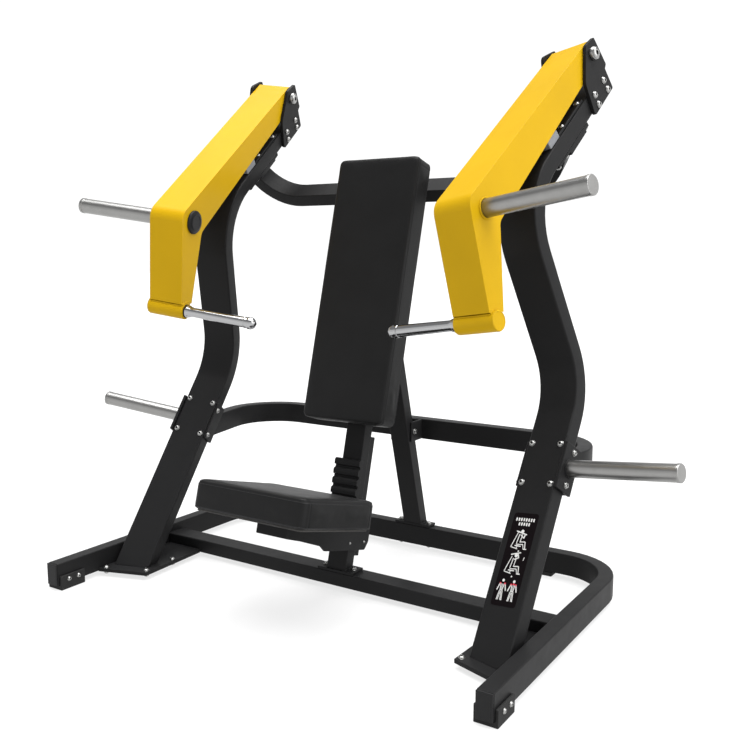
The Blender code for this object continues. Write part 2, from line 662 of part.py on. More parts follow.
def build_back_pad(frame):
    rear = BACK_PAD_FRONT - BACK_PAD_THICK
    height = BACK_PAD_HIGH - BACK_PAD_LOW
    turn = Matrix.Rotation(math.radians(90), 4, "X")

    cushion = prism(pad_outline(BACK_PAD_WIDTH, height), rear, BACK_PAD_FRONT, "Z")
    bmesh.ops.transform(cushion, verts=cushion.verts, matrix=turn)
    add_part("back_pad", shifted(cushion, (0, 0, BACK_PAD_LOW)), UPHOLSTERY, frame, bevel=0.012, segments=3)

    board = prism(pad_outline(BACK_PAD_WIDTH, height, BOARD_INSET), rear - GAP - BOARD_THICK, rear - GAP, "Z")
    bmesh.ops.transform(board, verts=board.verts, matrix=turn)
    add_part("back_pad_board", shifted(board, (0, 0, BACK_PAD_LOW)), PLYWOOD, frame)

    near = POST_FORWARD + TUBE_NARROW / 2 + GAP
    far = rear - BOARD_THICK - 2 * GAP
    for name, low in (("lower", 0.428), ("upper", 1.070)):
        plate = recline_box(BRACKET_HALF_WIDTH, (near, far), (low, low + BRACKET_HEIGHT))
        add_part("back_pad_" + name + "_bracket", plate, STEEL_DARK, frame, bevel=0.0008, segments=1)


def build_seat(frame):
    board_top = SEAT_UNDERSIDE + BOARD_THICK
    underside = board_top + GAP
    cushion = prism(pad_outline(SEAT_WIDTH, SEAT_LENGTH), underside, underside + SEAT_PAD_THICK, "Z")
    at = (0, -SEAT_REAR - SEAT_LENGTH, 0)
    add_part("seat_pad", shifted(cushion, at), UPHOLSTERY, frame, bevel=0.012, segments=3)
    board = prism(pad_outline(SEAT_WIDTH, SEAT_LENGTH, BOARD_INSET), SEAT_UNDERSIDE, board_top, "Z")
    add_part("seat_board", shifted(board, at), PLYWOOD, frame)
    build_carriage(frame)
    build_pull_pin(frame)


def build_carriage(frame):
    """Welded box: side plates beside the post, the left one shallower, a closed front, a top plate."""
    top = SEAT_UNDERSIDE - GAP
    under = top - CARRIAGE_WALL
    front = CARRIAGE_FRONT
    nose = POST_FORWARD + TUBE_NARROW / 2 + RACK_THICK + 0.006
    inside = CARRIAGE_INSIDE
    outside = inside + CARRIAGE_WALL
    lower = rounded_path([(front, top), (front, 0.0626), (0.6485, 0.0556), (0.5412, 0.0391),
                          (0.5180, 0.0244), (0.3005, 0.0244), (0.2845, 0.0500), (0.2837, top)],
                         [0, 0.004, 0.05, 0.006, 0.012, 0.012, 0.012], steps=3)
    bm = prism([reclined(f, u) for f, u in lower], -outside, outside, "X")

    cutter_bm = box((-inside, -front + CARRIAGE_WALL, -0.05), (inside, -0.20, under))
    add_cutter("carriage_channel_cutter", cutter_bm, frame)
    slot_bm = box((-inside, -nose, under - 0.01), (inside, -0.20, top + 0.05))
    add_cutter("carriage_slot_cutter", slot_bm, frame)
    relief_bm = box((-outside - 0.01, -0.600, -0.05), (-inside + 0.01, -0.420, 0.0391))
    add_cutter("carriage_relief_cutter", relief_bm, frame)
    carriage = add_part("seat_carriage", bm, STEEL_DARK, frame)
    for cutter in ("carriage_channel_cutter", "carriage_slot_cutter", "carriage_relief_cutter"):
        cut = carriage.modifiers.new(cutter, "BOOLEAN")
        cut.operation = "DIFFERENCE"
        cut.solver = "EXACT"
        cut.object = bpy.data.objects[cutter]

    hole = lathe([(0.0056, PULL_PIN_SIDE * (inside - 0.01)), (0.0056, PULL_PIN_SIDE * (outside + 0.01))], 20)
    add_cutter("pull_pin_hole_cutter", shifted(hole, (0, *reclined(*PULL_PIN))), frame)
    cut = carriage.modifiers.new("pull_pin_hole", "BOOLEAN")
    cut.operation = "DIFFERENCE"
    cut.solver = "EXACT"
    cut.object = bpy.data.objects["pull_pin_hole_cutter"]


def add_cutter(name, bm, frame):
    cutter = add_part(name, bm, PLASTIC_BLACK, frame)
    cutter.hide_render = True
    cutter.display_type = "WIRE"
    return cutter


def build_pull_pin(frame):
    outside = CARRIAGE_INSIDE + CARRIAGE_WALL + GAP
    collar = [(0.011, outside), (0.011, outside + 0.012), (0.0092, outside + 0.014),
              (0.0054, outside + 0.014), (0.0054, outside)]
    at = (0, *reclined(*PULL_PIN))
    housing = lathe([(radius, PULL_PIN_SIDE * x) for radius, x in collar], 20, closed=True)
    add_part("pull_pin_housing", shifted(housing, at), STEEL_SATIN, frame, smooth=True)

    pin_frame = add_empty("pull_pin_axis", frame, at)
    start = outside + 0.0146
    pin = [(0.0040, CARRIAGE_INSIDE), (0.0050, CARRIAGE_INSIDE + 0.001), (0.0050, start),
           (0.0100, start), (0.0130, start + 0.004), (0.0150, start + 0.012),
           (0.0130, start + 0.020), (0.0070, start + 0.024)]
    pin = [(radius, PULL_PIN_SIDE * x) for radius, x in pin]
    add_part("pull_pin", lathe(pin, 20), PLASTIC_BLACK, pin_frame, smooth=True)


# ---------------------------------------------------------------- assembly
def build_side(name, side):
    frame = side_frame(name, side)
    build_upright(name, side, frame)
    build_mid_saddle(name, side, frame)
    build_upper_saddle(name, frame)
    build_pivot(name, side, frame)
    build_stop(name, frame)
    root = UPRIGHT_WIDTH / 2 + OUTER_CHEEK + 2 * GAP
    storage = horn_profile(root, STORAGE_HORN_END)
    add_turned(name + "_storage_horn", storage, side, STORAGE_HORN, STEEL_SATIN, frame)
    build_arm(name, side, frame)


def build_machine():
    clear_scene()
    build_base()
    for name, side in (("left", -1), ("right", 1)):
        build_side(name, side)
    build_mid_crossbar()
    build_upper_crossbar()
    recline_frame = add_empty("recline_frame", None, (0, 0, LIFT), (-RECLINE, 0, 0))
    build_post(recline_frame)
    build_strut()
    build_back_pad(recline_frame)
    build_seat(recline_frame)
    floor_frame = add_empty("machine", None, (0, CENTRE_SHIFT, 0))
    for item in bpy.data.objects:
        if item.parent is None and item is not floor_frame:
            item.parent = floor_frame


build_machine()
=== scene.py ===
import json
import math

import bmesh
import bpy
import numpy as np
from mathutils import Matrix, Vector
from mathutils.bvhtree import BVHTree


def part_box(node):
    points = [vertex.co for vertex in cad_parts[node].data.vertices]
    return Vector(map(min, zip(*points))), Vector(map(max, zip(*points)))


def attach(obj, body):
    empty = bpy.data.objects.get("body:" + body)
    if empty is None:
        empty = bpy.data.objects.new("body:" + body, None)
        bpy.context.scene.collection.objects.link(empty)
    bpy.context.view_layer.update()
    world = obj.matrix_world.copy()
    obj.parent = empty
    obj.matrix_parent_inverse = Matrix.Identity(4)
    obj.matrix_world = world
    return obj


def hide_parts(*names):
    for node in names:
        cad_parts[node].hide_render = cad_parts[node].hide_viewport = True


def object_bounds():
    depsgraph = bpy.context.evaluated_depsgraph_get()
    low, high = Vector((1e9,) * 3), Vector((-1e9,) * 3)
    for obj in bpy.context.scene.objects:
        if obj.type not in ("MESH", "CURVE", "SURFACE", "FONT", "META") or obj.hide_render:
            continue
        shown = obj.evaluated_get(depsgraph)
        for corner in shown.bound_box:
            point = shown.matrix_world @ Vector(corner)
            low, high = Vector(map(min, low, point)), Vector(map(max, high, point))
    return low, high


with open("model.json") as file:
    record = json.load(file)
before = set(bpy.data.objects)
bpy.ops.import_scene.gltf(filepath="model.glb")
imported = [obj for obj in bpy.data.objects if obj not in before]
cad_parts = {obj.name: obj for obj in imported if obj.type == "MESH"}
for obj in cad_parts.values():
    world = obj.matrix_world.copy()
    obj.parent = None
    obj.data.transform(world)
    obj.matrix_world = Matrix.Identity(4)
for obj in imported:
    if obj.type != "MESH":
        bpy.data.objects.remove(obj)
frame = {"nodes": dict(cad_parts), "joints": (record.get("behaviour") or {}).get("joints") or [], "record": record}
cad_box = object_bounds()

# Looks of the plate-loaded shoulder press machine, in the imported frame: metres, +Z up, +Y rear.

# ---------------- sizes that the CAD frame doesn't state
CAMERA_AZIMUTH = math.radians(32.84)
CAMERA_ELEVATION = math.radians(8.03)
CAMERA_DISTANCE = 2.660
CAMERA_TARGET = (0.107, 0.044, 0.679)
CAMERA_LENS = 42.43

EDGE_ROUND = 0.0008            # broken edge of plates and small parts
SHARP_ANGLE = 50               # degrees at which an edge of a CAD node counts as sharp
WELD_RADIUS = 0.0034
SMALL_WELD = 0.0030
WELD_RIPPLE = 0.0030           # distance between the ripples of a bead
PAD_VOXEL = 0.005
PAD_SWELL = 0.0016             # most that a pad's cover may swell
SEAM_DEPTH = 0.0012
SEAM_SPREAD = 0.0016
PAD_CORNER = 0.019
STITCH_PITCH = 0.0065

# Places in the plane of an upright, (rearward, up) in metres from the arm pivot.
PLATE_BOLTS = ((0.0475, -0.0693), (0.0668, -0.0923), (-0.0076, -0.1180), (0.0095, -0.1426))
LOW_RUN = (-0.1698, -0.9359)   # end of the upright's lower straight run, on its centre line
LOW_SLOPE = math.atan2(0.5623, 0.8269)
HIGH_RUN = (0.0684, -0.0746)   # upper end of the upright's centre line
HIGH_SLOPE = math.atan2(0.7732, 0.6342)
ELBOW = (-0.5484, -0.4584)
SOCKET = (-0.5484, -0.7374)
STORAGE = (-0.3028, -1.1502)

# Distances across, from the mid plane of an upright or an arm.
UPRIGHT_HALF_WIDTH = 0.0608
UPRIGHT_HALF_DEPTH = 0.025
PIVOT_PLATE_FACE = UPRIGHT_HALF_WIDTH + 0.0108
PIVOT_HEAD_FACE = PIVOT_PLATE_FACE + 0.0110
STORAGE_PLATE_FACE = UPRIGHT_HALF_WIDTH + 0.0112
STOP_PLATE_FACE = UPRIGHT_HALF_DEPTH + 0.0083
OUTER_CHEEK_FACE = UPRIGHT_HALF_WIDTH + 0.0103
INNER_CHEEK_FACE = UPRIGHT_HALF_WIDTH + 0.0063
ARM_HALF_WIDTH = 0.059
SOCKET_INNER_END = 0.0624
SOCKET_OUTER_END = 0.0658
HORN_CAP_FACE = 0.0682
HANDLE_TIP = 0.3120            # outer end of the handle's ball

# Bolts along the straight runs of an upright: distance along, then out to the front of its middle.
STOP_PLATE_BOLTS = ((-0.151, STOP_PLATE_FACE), (-0.266, STOP_PLATE_FACE))
UPPER_SADDLE_BOLTS = ((-0.312, -0.0333), (-0.365, -0.0333), (-0.170, -0.0373))
MID_FRONT_BOLTS = ((-0.195, UPRIGHT_HALF_DEPTH), (-0.312, UPRIGHT_HALF_DEPTH))
OUTER_CHEEK_BOLTS = ((-0.2066, -0.0098), (-0.3010, -0.0098))
INNER_CHEEK_BOLTS = ((-0.213, 0.0095), (-0.306, 0.0095))
CARRIAGE_BOLTS = ((-0.3255, -0.0585, (-1, 1)), (-0.405, -0.0546, (1,)))

LABEL_ALONG = -0.527
LABEL_WIDTH, LABEL_HEIGHT = 0.078, 0.254
LABEL_UNIT = 0.0001            # the figures' lines are drawn in tenths of a millimetre
SEATED_SIZE, STANDING_SIZE = 1.22, 1.36
SEATED_BODY = ((30, 135, 12, -35, 18), (-42, 135, -70, -70, 20), (12, -35, 135, -25, 20),
               (-60, -95, 98, -85, 18), (145, -30, 172, -170, 20), (102, -90, 134, -175, 16),
               (138, -185, 210, -185, 24), (-90, 180, -195, -160, 18), (-195, -160, -20, -195, 18),
               (-95, -125, 50, -130, 24), (-30, -130, -50, -185, 16))
ARMS_HIGH = ((-5, 120, 85, 165, 26), (85, 165, 40, 260, 26), (-120, 220, 105, 280, 26),
             (215, 120, 225, 180, 16))
ARMS_LOW = ((-5, 120, 85, 55, 26), (85, 55, 100, 145, 26), (-130, 200, 130, 140, 26))
STANDING_TRUNK = ((0, 125, 0, 10, 12), (-26, 5, 26, 5, 18))
STANDING_SIDE = ((34, 125, 22, 10, 18), (62, 125, 98, 10, 22), (34, -10, 54, -180, 16),
                 (8, -20, 30, -180, 14))


# ---------------- shader helpers
def shader_node(tree, kind, **settings):
    node = tree.nodes.new("ShaderNode" + kind)
    for name, value in settings.items():
        setattr(node, name, value)
    return node


def new_material(name, colour, roughness, metallic=0.0, **sockets):
    material = bpy.data.materials.new(name)
    material.use_nodes = True
    tree = material.node_tree
    shader = tree.nodes["Principled BSDF"]
    shader.inputs["Base Color"].default_value = (*colour, 1.0)
    shader.inputs["Roughness"].default_value = roughness
    shader.inputs["Metallic"].default_value = metallic
    for label, value in sockets.items():
        shader.inputs[label.replace("_", " ")].default_value = value
    return material, tree, shader


def place_coordinates(tree, stretch=(1, 1, 1)):
    coordinates = shader_node(tree, "TexCoord")
    mapping = shader_node(tree, "Mapping")
    mapping.inputs["Scale"].default_value = stretch
    tree.links.new(coordinates.outputs["Object"], mapping.inputs["Vector"])
    return mapping.outputs["Vector"]


def noise(tree, vector, scale, detail=2.0, rough=0.5):
    node = shader_node(tree, "TexNoise")
    node.inputs["Scale"].default_value = scale
    node.inputs["Detail"].default_value = detail
    node.inputs["Roughness"].default_value = rough
    tree.links.new(vector, node.inputs["Vector"])
    return node.outputs["Fac"]


def ramp(tree, value, stops):
    node = shader_node(tree, "ValToRGB")
    while len(node.color_ramp.elements) < len(stops):
        node.color_ramp.elements.new(0.5)
    for element, (position, colour) in zip(node.color_ramp.elements, stops):
        element.position = position
        element.color = (*colour, 1.0)
    tree.links.new(value, node.inputs["Fac"])
    return node.outputs["Color"]


def scaled(tree, value, low, high):
    node = shader_node(tree, "MapRange")
    node.inputs["To Min"].default_value = low
    node.inputs["To Max"].default_value = high
    tree.links.new(value, node.inputs["Value"])
    return node.outputs["Result"]


def combine(tree, first, second, operation):
    node = shader_node(tree, "Math", operation=operation)
    for socket, value in zip(node.inputs, (first, second)):
        if isinstance(value, (int, float)):
            socket.default_value = value
        else:
            tree.links.new(value, socket)
    return node.outputs["Value"]


def mix_colours(tree, amount, first, second):
    """First colour where amount is 0, second where it is 1."""
    node = shader_node(tree, "MixRGB")
    tree.links.new(amount, node.inputs["Fac"])
    for label, value in (("Color1", first), ("Color2", second)):
        if isinstance(value, tuple):
            node.inputs[label].default_value = (*value, 1.0)
        else:
            tree.links.new(value, node.inputs[label])
    return node.outputs["Color"]


def add_bump(tree, shader, layers):
    """Layers of (height, strength, distance), the last on top."""
    normal = None
    for height, strength, distance in layers:
        node = shader_node(tree, "Bump")
        node.inputs["Strength"].default_value = strength
        node.inputs["Distance"].default_value = distance
        tree.links.new(height, node.inputs["Height"])
        if normal is not None:
            tree.links.new(normal, node.inputs["Normal"])
        normal = node.outputs["Normal"]
    tree.links.new(normal, shader.inputs["Normal"])


def feed(tree, shader, colour, roughness):
    tree.links.new(colour, shader.inputs["Base Color"])
    tree.links.new(roughness, shader.inputs["Roughness"])


def edge_wear_and_highlight(tree, vector, radius, amount):
    """1 on broken edges, fading into the flats: partly where the coat is rubbed thin, partly a painted highlight
    along the edges.
    """
    rounded = shader_node(tree, "Bevel", samples=4)
    rounded.inputs["Radius"].default_value = radius
    geometry = shader_node(tree, "NewGeometry")
    dot = shader_node(tree, "VectorMath", operation="DOT_PRODUCT")
    tree.links.new(rounded.outputs["Normal"], dot.inputs[0])
    tree.links.new(geometry.outputs["Normal"], dot.inputs[1])
    turned = combine(tree, 1.0, dot.outputs["Value"], "SUBTRACT")
    patchy = combine(tree, turned, noise(tree, vector, 90, 3), "MULTIPLY")
    strong = combine(tree, patchy, amount, "MULTIPLY")
    node = shader_node(tree, "Clamp")
    tree.links.new(strong, node.inputs["Value"])
    return node.outputs["Result"]


def powder_coat(name, colour, light, roughness, texture, rub_and_highlight, shine_level=0.08):
    """Sprayed and baked coat: slight orange peel over a fine grain, lighter on edges, where the coat is rubbed
    thin and where a highlight is painted.
    """
    material, tree, shader = new_material(name, colour, roughness, 0.0, Specular_IOR_Level=shine_level)
    vector = place_coordinates(tree)
    cloud = noise(tree, vector, 5, 4)
    darker = tuple(0.96 * c for c in colour)
    lighter = tuple(1.04 * c for c in colour)
    body = ramp(tree, cloud, [(0.30, darker), (0.70, lighter)])
    # edges lighter: rubbed-thin wear and a painted edge highlight
    edges = edge_wear_and_highlight(tree, vector, 0.0022, rub_and_highlight)
    shine = scaled(tree, noise(tree, vector, 26, 5, 0.6), roughness - 0.07, roughness + 0.08)
    feed(tree, shader, mix_colours(tree, edges, body, light), shine)
    fine = noise(tree, vector, 950, 1)
    peel = noise(tree, vector, 260, 1)
    add_bump(tree, shader, [(peel, texture, 0.0006), (fine, texture * 0.8, 0.0002)])
    return material


def turned_metal(name, colour, roughness, axis, grooves):
    """Lathe-turned steel: fine rings round the axis, and long scuffs from plates sliding on."""
    material, tree, shader = new_material(name, colour, roughness, 1.0)
    vector = place_coordinates(tree)
    along = shader_node(tree, "VectorMath", operation="DOT_PRODUCT")
    along.inputs[1].default_value = tuple(axis)
    tree.links.new(vector, along.inputs[0])
    ring = shader_node(tree, "TexNoise", noise_dimensions="1D")
    ring.inputs["Scale"].default_value = grooves
    ring.inputs["Detail"].default_value = 3.0
    tree.links.new(along.outputs["Value"], ring.inputs["W"])
    patches = noise(tree, vector, 34, 6, 0.65)
    worn = ramp(tree, patches, [(0.35, tuple(0.93 * c for c in colour)), (0.62, colour)])
    mixed = combine(tree, combine(tree, patches, 0.25, "MULTIPLY"), ring.outputs["Fac"], "ADD")
    feed(tree, shader, worn, scaled(tree, mixed, roughness - 0.04, roughness + 0.06))
    add_bump(tree, shader, [(ring.outputs["Fac"], 0.22, 0.0001), (patches, 0.03, 0.0003)])
    return material


def chrome_plate():
    material, tree, shader = new_material("chrome_plate", (0.37, 0.372, 0.378), 0.10, 1.0)
    vector = place_coordinates(tree)
    smear = noise(tree, vector, 18, 6, 0.7)
    scratches = noise(tree, place_coordinates(tree, (1, 14, 14)), 210, 3)
    mixed = combine(tree, smear, combine(tree, scratches, 0.5, "MULTIPLY"), "ADD")
    tree.links.new(scaled(tree, mixed, 0.04, 0.20), shader.inputs["Roughness"])
    add_bump(tree, shader, [(scratches, 0.04, 0.0001)])
    return material


def synthetic_leather(name, colour, grain=1.0):
    """Embossed vinyl: pebbles about a millimetre across, faint creases, sheen where it is handled."""
    material, tree, shader = new_material(name, colour, 0.44, 0.0, Specular_IOR_Level=0.10)
    vector = place_coordinates(tree)
    pebbles = shader_node(tree, "TexVoronoi", feature="SMOOTH_F1")
    pebbles.inputs["Scale"].default_value = 780
    pebbles.inputs["Smoothness"].default_value = 0.6
    warp = shader_node(tree, "VectorMath", operation="SCALE")
    warp.inputs["Scale"].default_value = 0.0010
    wobble = shader_node(tree, "TexNoise")
    wobble.inputs["Scale"].default_value = 300
    tree.links.new(vector, wobble.inputs["Vector"])
    tree.links.new(wobble.outputs["Color"], warp.inputs[0])
    moved = shader_node(tree, "VectorMath", operation="ADD")
    tree.links.new(vector, moved.inputs[0])
    tree.links.new(warp.outputs["Vector"], moved.inputs[1])
    tree.links.new(moved.outputs["Vector"], pebbles.inputs["Vector"])
    creases = noise(tree, place_coordinates(tree, (1.0, 1.0, 1.6)), 55, 5, 0.6)
    darker = tuple(0.85 * c for c in colour)
    tone = ramp(tree, noise(tree, vector, 9, 4), [(0.3, darker), (0.7, colour)])
    feed(tree, shader, tone, scaled(tree, noise(tree, vector, 14, 4, 0.6), 0.36, 0.50))
    layers = [(creases, 0.10, 0.0012), (pebbles.outputs["Distance"], 0.30 * grain, 0.0004)]
    add_bump(tree, shader, layers)
    return material


def stained_plywood():
    material, tree, shader = new_material("stained_plywood", (0.028, 0.027, 0.026), 0.7)
    vector = place_coordinates(tree, (3.0, 60.0, 60.0))
    grain = noise(tree, vector, 8, 6, 0.65)
    tree.links.new(ramp(tree, grain, [(0.3, (0.012, 0.012, 0.012)), (0.7, (0.048, 0.044, 0.040))]),
                   shader.inputs["Base Color"])
    add_bump(tree, shader, [(grain, 0.35, 0.0006)])
    return material


def speckled(name, colour, roughness, scale, strength, spread=0.15, shine_level=0.16):
    """Moulded rubber or plastic with a fine spark-eroded surface."""
    material, tree, shader = new_material(name, colour, roughness, 0.0, Specular_IOR_Level=shine_level)
    vector = place_coordinates(tree)
    grain = noise(tree, vector, scale, 3)
    cloud = noise(tree, vector, 11, 4)
    tone = ramp(tree, cloud, [(0.3, tuple((1 - spread) * c for c in colour)),
                              (0.7, tuple((1 + spread) * c for c in colour))])
    feed(tree, shader, tone, scaled(tree, cloud, roughness - 0.06, roughness + 0.06))
    add_bump(tree, shader, [(grain, strength, 0.0003)])
    return material


def plated_zinc():
    material, tree, shader = new_material("zinc_plate", (0.32, 0.32, 0.31), 0.28, 1.0)
    vector = place_coordinates(tree)
    bloom = noise(tree, vector, 120, 4, 0.6)
    tone = ramp(tree, bloom, [(0.3, (0.27, 0.27, 0.265)), (0.7, (0.38, 0.38, 0.37))])
    feed(tree, shader, tone, scaled(tree, bloom, 0.18, 0.40))
    add_bump(tree, shader, [(noise(tree, vector, 900, 2), 0.06, 0.0002)])
    return material


# ---------------- places
JOINTS = {joint["name"]: joint for joint in frame["joints"]}


def side_matrix(name):
    """Upright plane with its origin at the arm pivot: local X across, Y rearward, Z up."""
    joint = JOINTS[name + "_arm_swing"]
    across = -Vector(joint["axis"]).normalized()
    rear = Vector((-across.y, across.x, 0)).normalized()
    up = across.cross(rear)
    turn = Matrix((across, rear, up)).transposed().to_4x4()
    return Matrix.Translation(joint["pos_m"]) @ turn


def recline_axes():
    up = Vector(JOINTS["seat_height"]["axis"]).normalized()
    return up, Vector((0, -up.z, up.y))


def points_of(node):
    return [vertex.co.copy() for vertex in frame["nodes"][node].data.vertices]


def span(node, axis):
    reach = [point.dot(axis) for point in points_of(node)]
    return min(reach), max(reach)


def aim(direction, roll=(0, 0, 1)):
    """Turn that carries local Z on to a direction."""
    z = Vector(direction).normalized()
    x = Vector(roll).cross(z)
    if x.length < 0.01:
        x = Vector((0, 1, 0)).cross(z)
    x.normalize()
    return Matrix((x, z.cross(x), z)).transposed().to_4x4()


def facing(point, direction):
    """Matrix for a fitting that stands on a point and faces a direction."""
    return Matrix.Translation(point) @ aim(direction)


def at(matrix, point, direction):
    """The same with a local point and direction."""
    return matrix @ Matrix.Translation(point) @ aim(direction)


# ---------------- shapes
def turned(profile, steps=24, radius_at=None):
    """Closed shape turned about Z from (radius, height) pairs, bottom to top."""
    bm = bmesh.new()
    rings = []
    for k, (radius, height) in enumerate(profile):
        ring = []
        for i in range(steps):
            turn = 2 * math.pi * i / steps
            r = radius if radius_at is None else radius_at(k, radius, turn)
            ring.append(bm.verts.new((r * math.cos(turn), r * math.sin(turn), height)))
        rings.append(ring)
    for low, high in zip(rings, rings[1:]):
        for i in range(steps):
            j = (i + 1) % steps
            bm.faces.new((low[i], low[j], high[j], high[i]))
    bm.faces.new(list(reversed(rings[0])))
    bm.faces.new(rings[-1])
    return bm


def washer(radius, thick):
    edge = thick * 0.3
    return turned([(radius - edge, 0), (radius, edge), (radius, thick - edge), (radius - edge, thick)])


def hexagon(turn):
    """Distance from centre to side of a unit hexagon."""
    return math.cos(math.pi / 6) / math.cos((turn + math.pi / 6) % (math.pi / 3) - math.pi / 6)


def hex_head(corner, height, base=0.0):
    """Hexagon head whose corners are turned off at the top."""
    def radius_at(k, radius, turn):
        side = corner * hexagon(turn)
        return side if k < 2 else min(side, radius)

    profile = [(corner, base), (corner, base + height * 0.78), (corner * 0.94, base + height * 0.90),
               (corner * 0.80, base + height)]
    return turned(profile, 36, radius_at)


def button_head(radius, height, base=0.0):
    """Domed head with a hexagon socket."""
    socket = radius * 0.46
    dome = ((0.97, 0), (1.0, 0.12), (0.93, 0.48), (0.76, 0.83), (0.56, 1.0))
    hollow = ((1.08, 1.0), (1.0, 0.94), (0.98, 0.25))
    profile = [(radius * wide, base + height * up) for wide, up in dome]
    profile += [(socket * wide, base + height * up) for wide, up in hollow]

    def radius_at(k, ring_radius, turn):
        return ring_radius * hexagon(turn) if k >= 6 else ring_radius

    return turned(profile, 24, radius_at)


def painted_shade_in_socket(radius, height):
    """Dark hexagon laid in the bottom of a button head's socket: painted shade for the hollow."""
    corner = radius * 0.44
    level = height * 0.55
    profile = [(corner * 0.9, level - 0.0006), (corner, level - 0.0003), (corner * 0.98, level)]
    return turned(profile, 24, lambda _, ring_radius, turn: ring_radius * hexagon(turn))


def stack(*shapes):
    bm = bmesh.new()
    for shape in shapes:
        drop_in(bm, shape)
    return bm


def drop_in(group, shape, matrix=None):
    """Add a shape to a group, moved by the matrix if there is one, and free it."""
    if matrix is not None:
        shape.transform(matrix)
    mesh = bpy.data.meshes.new("carrier")
    shape.to_mesh(mesh)
    shape.free()
    group.from_mesh(mesh)
    bpy.data.meshes.remove(mesh)


def hex_bolt(corner, height):
    return stack(washer(corner * 1.18, 0.0014), hex_head(corner, height, 0.0013))


def button_bolt(radius, height):
    return stack(washer(radius * 1.12, 0.0012), button_head(radius, height, 0.0011))


def nut(corner, height):
    end = corner * 0.50
    thread = turned([(end, height), (end, height + 0.0030), (end * 0.84, height + 0.0036)], 16)
    return stack(washer(corner * 1.18, 0.0014), hex_head(corner, height, 0.0013), thread)


def tube(path, radius, sides=8, closed=True, radius_at=None, squash_to=None):
    """Round bead along a path; squash_to is (normal, factor)."""
    bm = bmesh.new()
    rings = []
    count = len(path)
    normal = Vector((0, 0, 1)) if squash_to is None else Vector(squash_to[0]).normalized()
    for i, point in enumerate(path):
        before = path[i - 1] if closed or i > 0 else path[i]
        after = path[(i + 1) % count] if closed or i < count - 1 else path[i]
        along = (after - before).normalized()
        across = along.cross(normal).normalized()
        rise = across.cross(along)
        r = radius if radius_at is None else radius_at(i)
        lift = 1.0 if squash_to is None else squash_to[1]
        ring = []
        for k in range(sides):
            turn = 2 * math.pi * k / sides
            spoke = across * r * math.cos(turn) + rise * r * lift * math.sin(turn)
            ring.append(bm.verts.new(point + spoke))
        rings.append(ring)
    pairs = list(zip(rings, rings[1:]))
    if closed:
        pairs.append((rings[-1], rings[0]))
    for low, high in pairs:
        for k in range(sides):
            j = (k + 1) % sides
            bm.faces.new((low[k], high[k], high[j], low[j]))
    if not closed:
        bm.faces.new(rings[0])
        bm.faces.new(list(reversed(rings[-1])))
    return bm


def resample(loop, step, closed=True):
    """Points a fixed step apart along a loop."""
    points = []
    count = len(loop)
    for i in range(count if closed else count - 1):
        start, end = loop[i], loop[(i + 1) % count]
        parts = max(1, round((end - start).length / step))
        points += [start.lerp(end, k / parts) for k in range(parts)]
    if not closed:
        points.append(loop[-1])
    return points


def rounded_loop(points, radius, steps=6):
    """Closed loop of straight runs with every corner rounded."""
    loop = []
    count = len(points)
    for i in range(count):
        here = points[i]
        before = (points[i - 1] - here).normalized()
        after = (points[(i + 1) % count] - here).normalized()
        half = before.angle(after) / 2
        reach = radius / math.tan(half)
        for k in range(steps + 1):
            t = k / steps
            a = here + before * reach * (1 - t)
            b = here + after * reach * t
            loop.append(a.lerp(b, t))
    return loop


def rounded_rectangle(half_x, half_y, radius, steps=6):
    corners = ((-half_x, -half_y), (half_x, -half_y), (half_x, half_y), (-half_x, half_y))
    return rounded_loop([Vector((x, y, 0)) for x, y in corners], radius, steps)


def weld_bead(loop, normal, radius, closed=True):
    """Stacked-coin fillet weld: a bead with ripples along it."""
    path = resample(loop, WELD_RIPPLE / 4, closed)

    def radius_at(i):
        wander = math.sin(i * 0.11) * 0.05 + math.sin(i * 0.037 + 1.3) * 0.06
        return radius * (0.92 + 0.12 * abs(math.sin(math.pi * i / 4 + 0.4)) + wander)

    return tube(path, radius, 8, closed, radius_at, (normal, 0.85))


def rim(node, outward, half=0, grow=0.0):
    """Outline of a node's flat end, the furthest along a direction; half picks a side of the machine."""
    outward = Vector(outward).normalized()
    chosen = [p for p in points_of(node) if half * p.x >= 0]
    furthest = max(p.dot(outward) for p in chosen)
    face = [p for p in chosen if p.dot(outward) > furthest - 0.0002]
    centre = sum(face, Vector()) / len(face)
    first = (face[0] - centre).normalized()
    second = outward.cross(first)
    turns = {}
    for p in face:
        spoke = p - centre
        turns[round(math.atan2(spoke.dot(second), spoke.dot(first)), 3)] = p
    loop = [turns[t] for t in sorted(turns)]
    return [p + (p - centre).normalized() * grow for p in loop], outward


# ---------------- making pieces
def finish_surface(piece, round_edges):
    """Weld split edges, merge flat triangles, break the sharp edges and shade by angle."""
    weld = piece.modifiers.new("join", "WELD")
    weld.merge_threshold = 0.00002
    if round_edges > 0:
        flatten = piece.modifiers.new("flatten", "DECIMATE")
        flatten.decimate_type = "DISSOLVE"
        flatten.angle_limit = math.radians(0.4)
        rounding = piece.modifiers.new("edges", "BEVEL")
        rounding.width = round_edges
        rounding.segments = 2
        rounding.limit_method = "ANGLE"
        rounding.angle_limit = math.radians(SHARP_ANGLE)
        rounding.harden_normals = False
    smooth = piece.modifiers.new("smooth", "NODES")
    smooth.node_group = smooth_by_angle()
    weighted = piece.modifiers.new("flats", "WEIGHTED_NORMAL")
    weighted.keep_sharp = True
    weighted.weight = 60


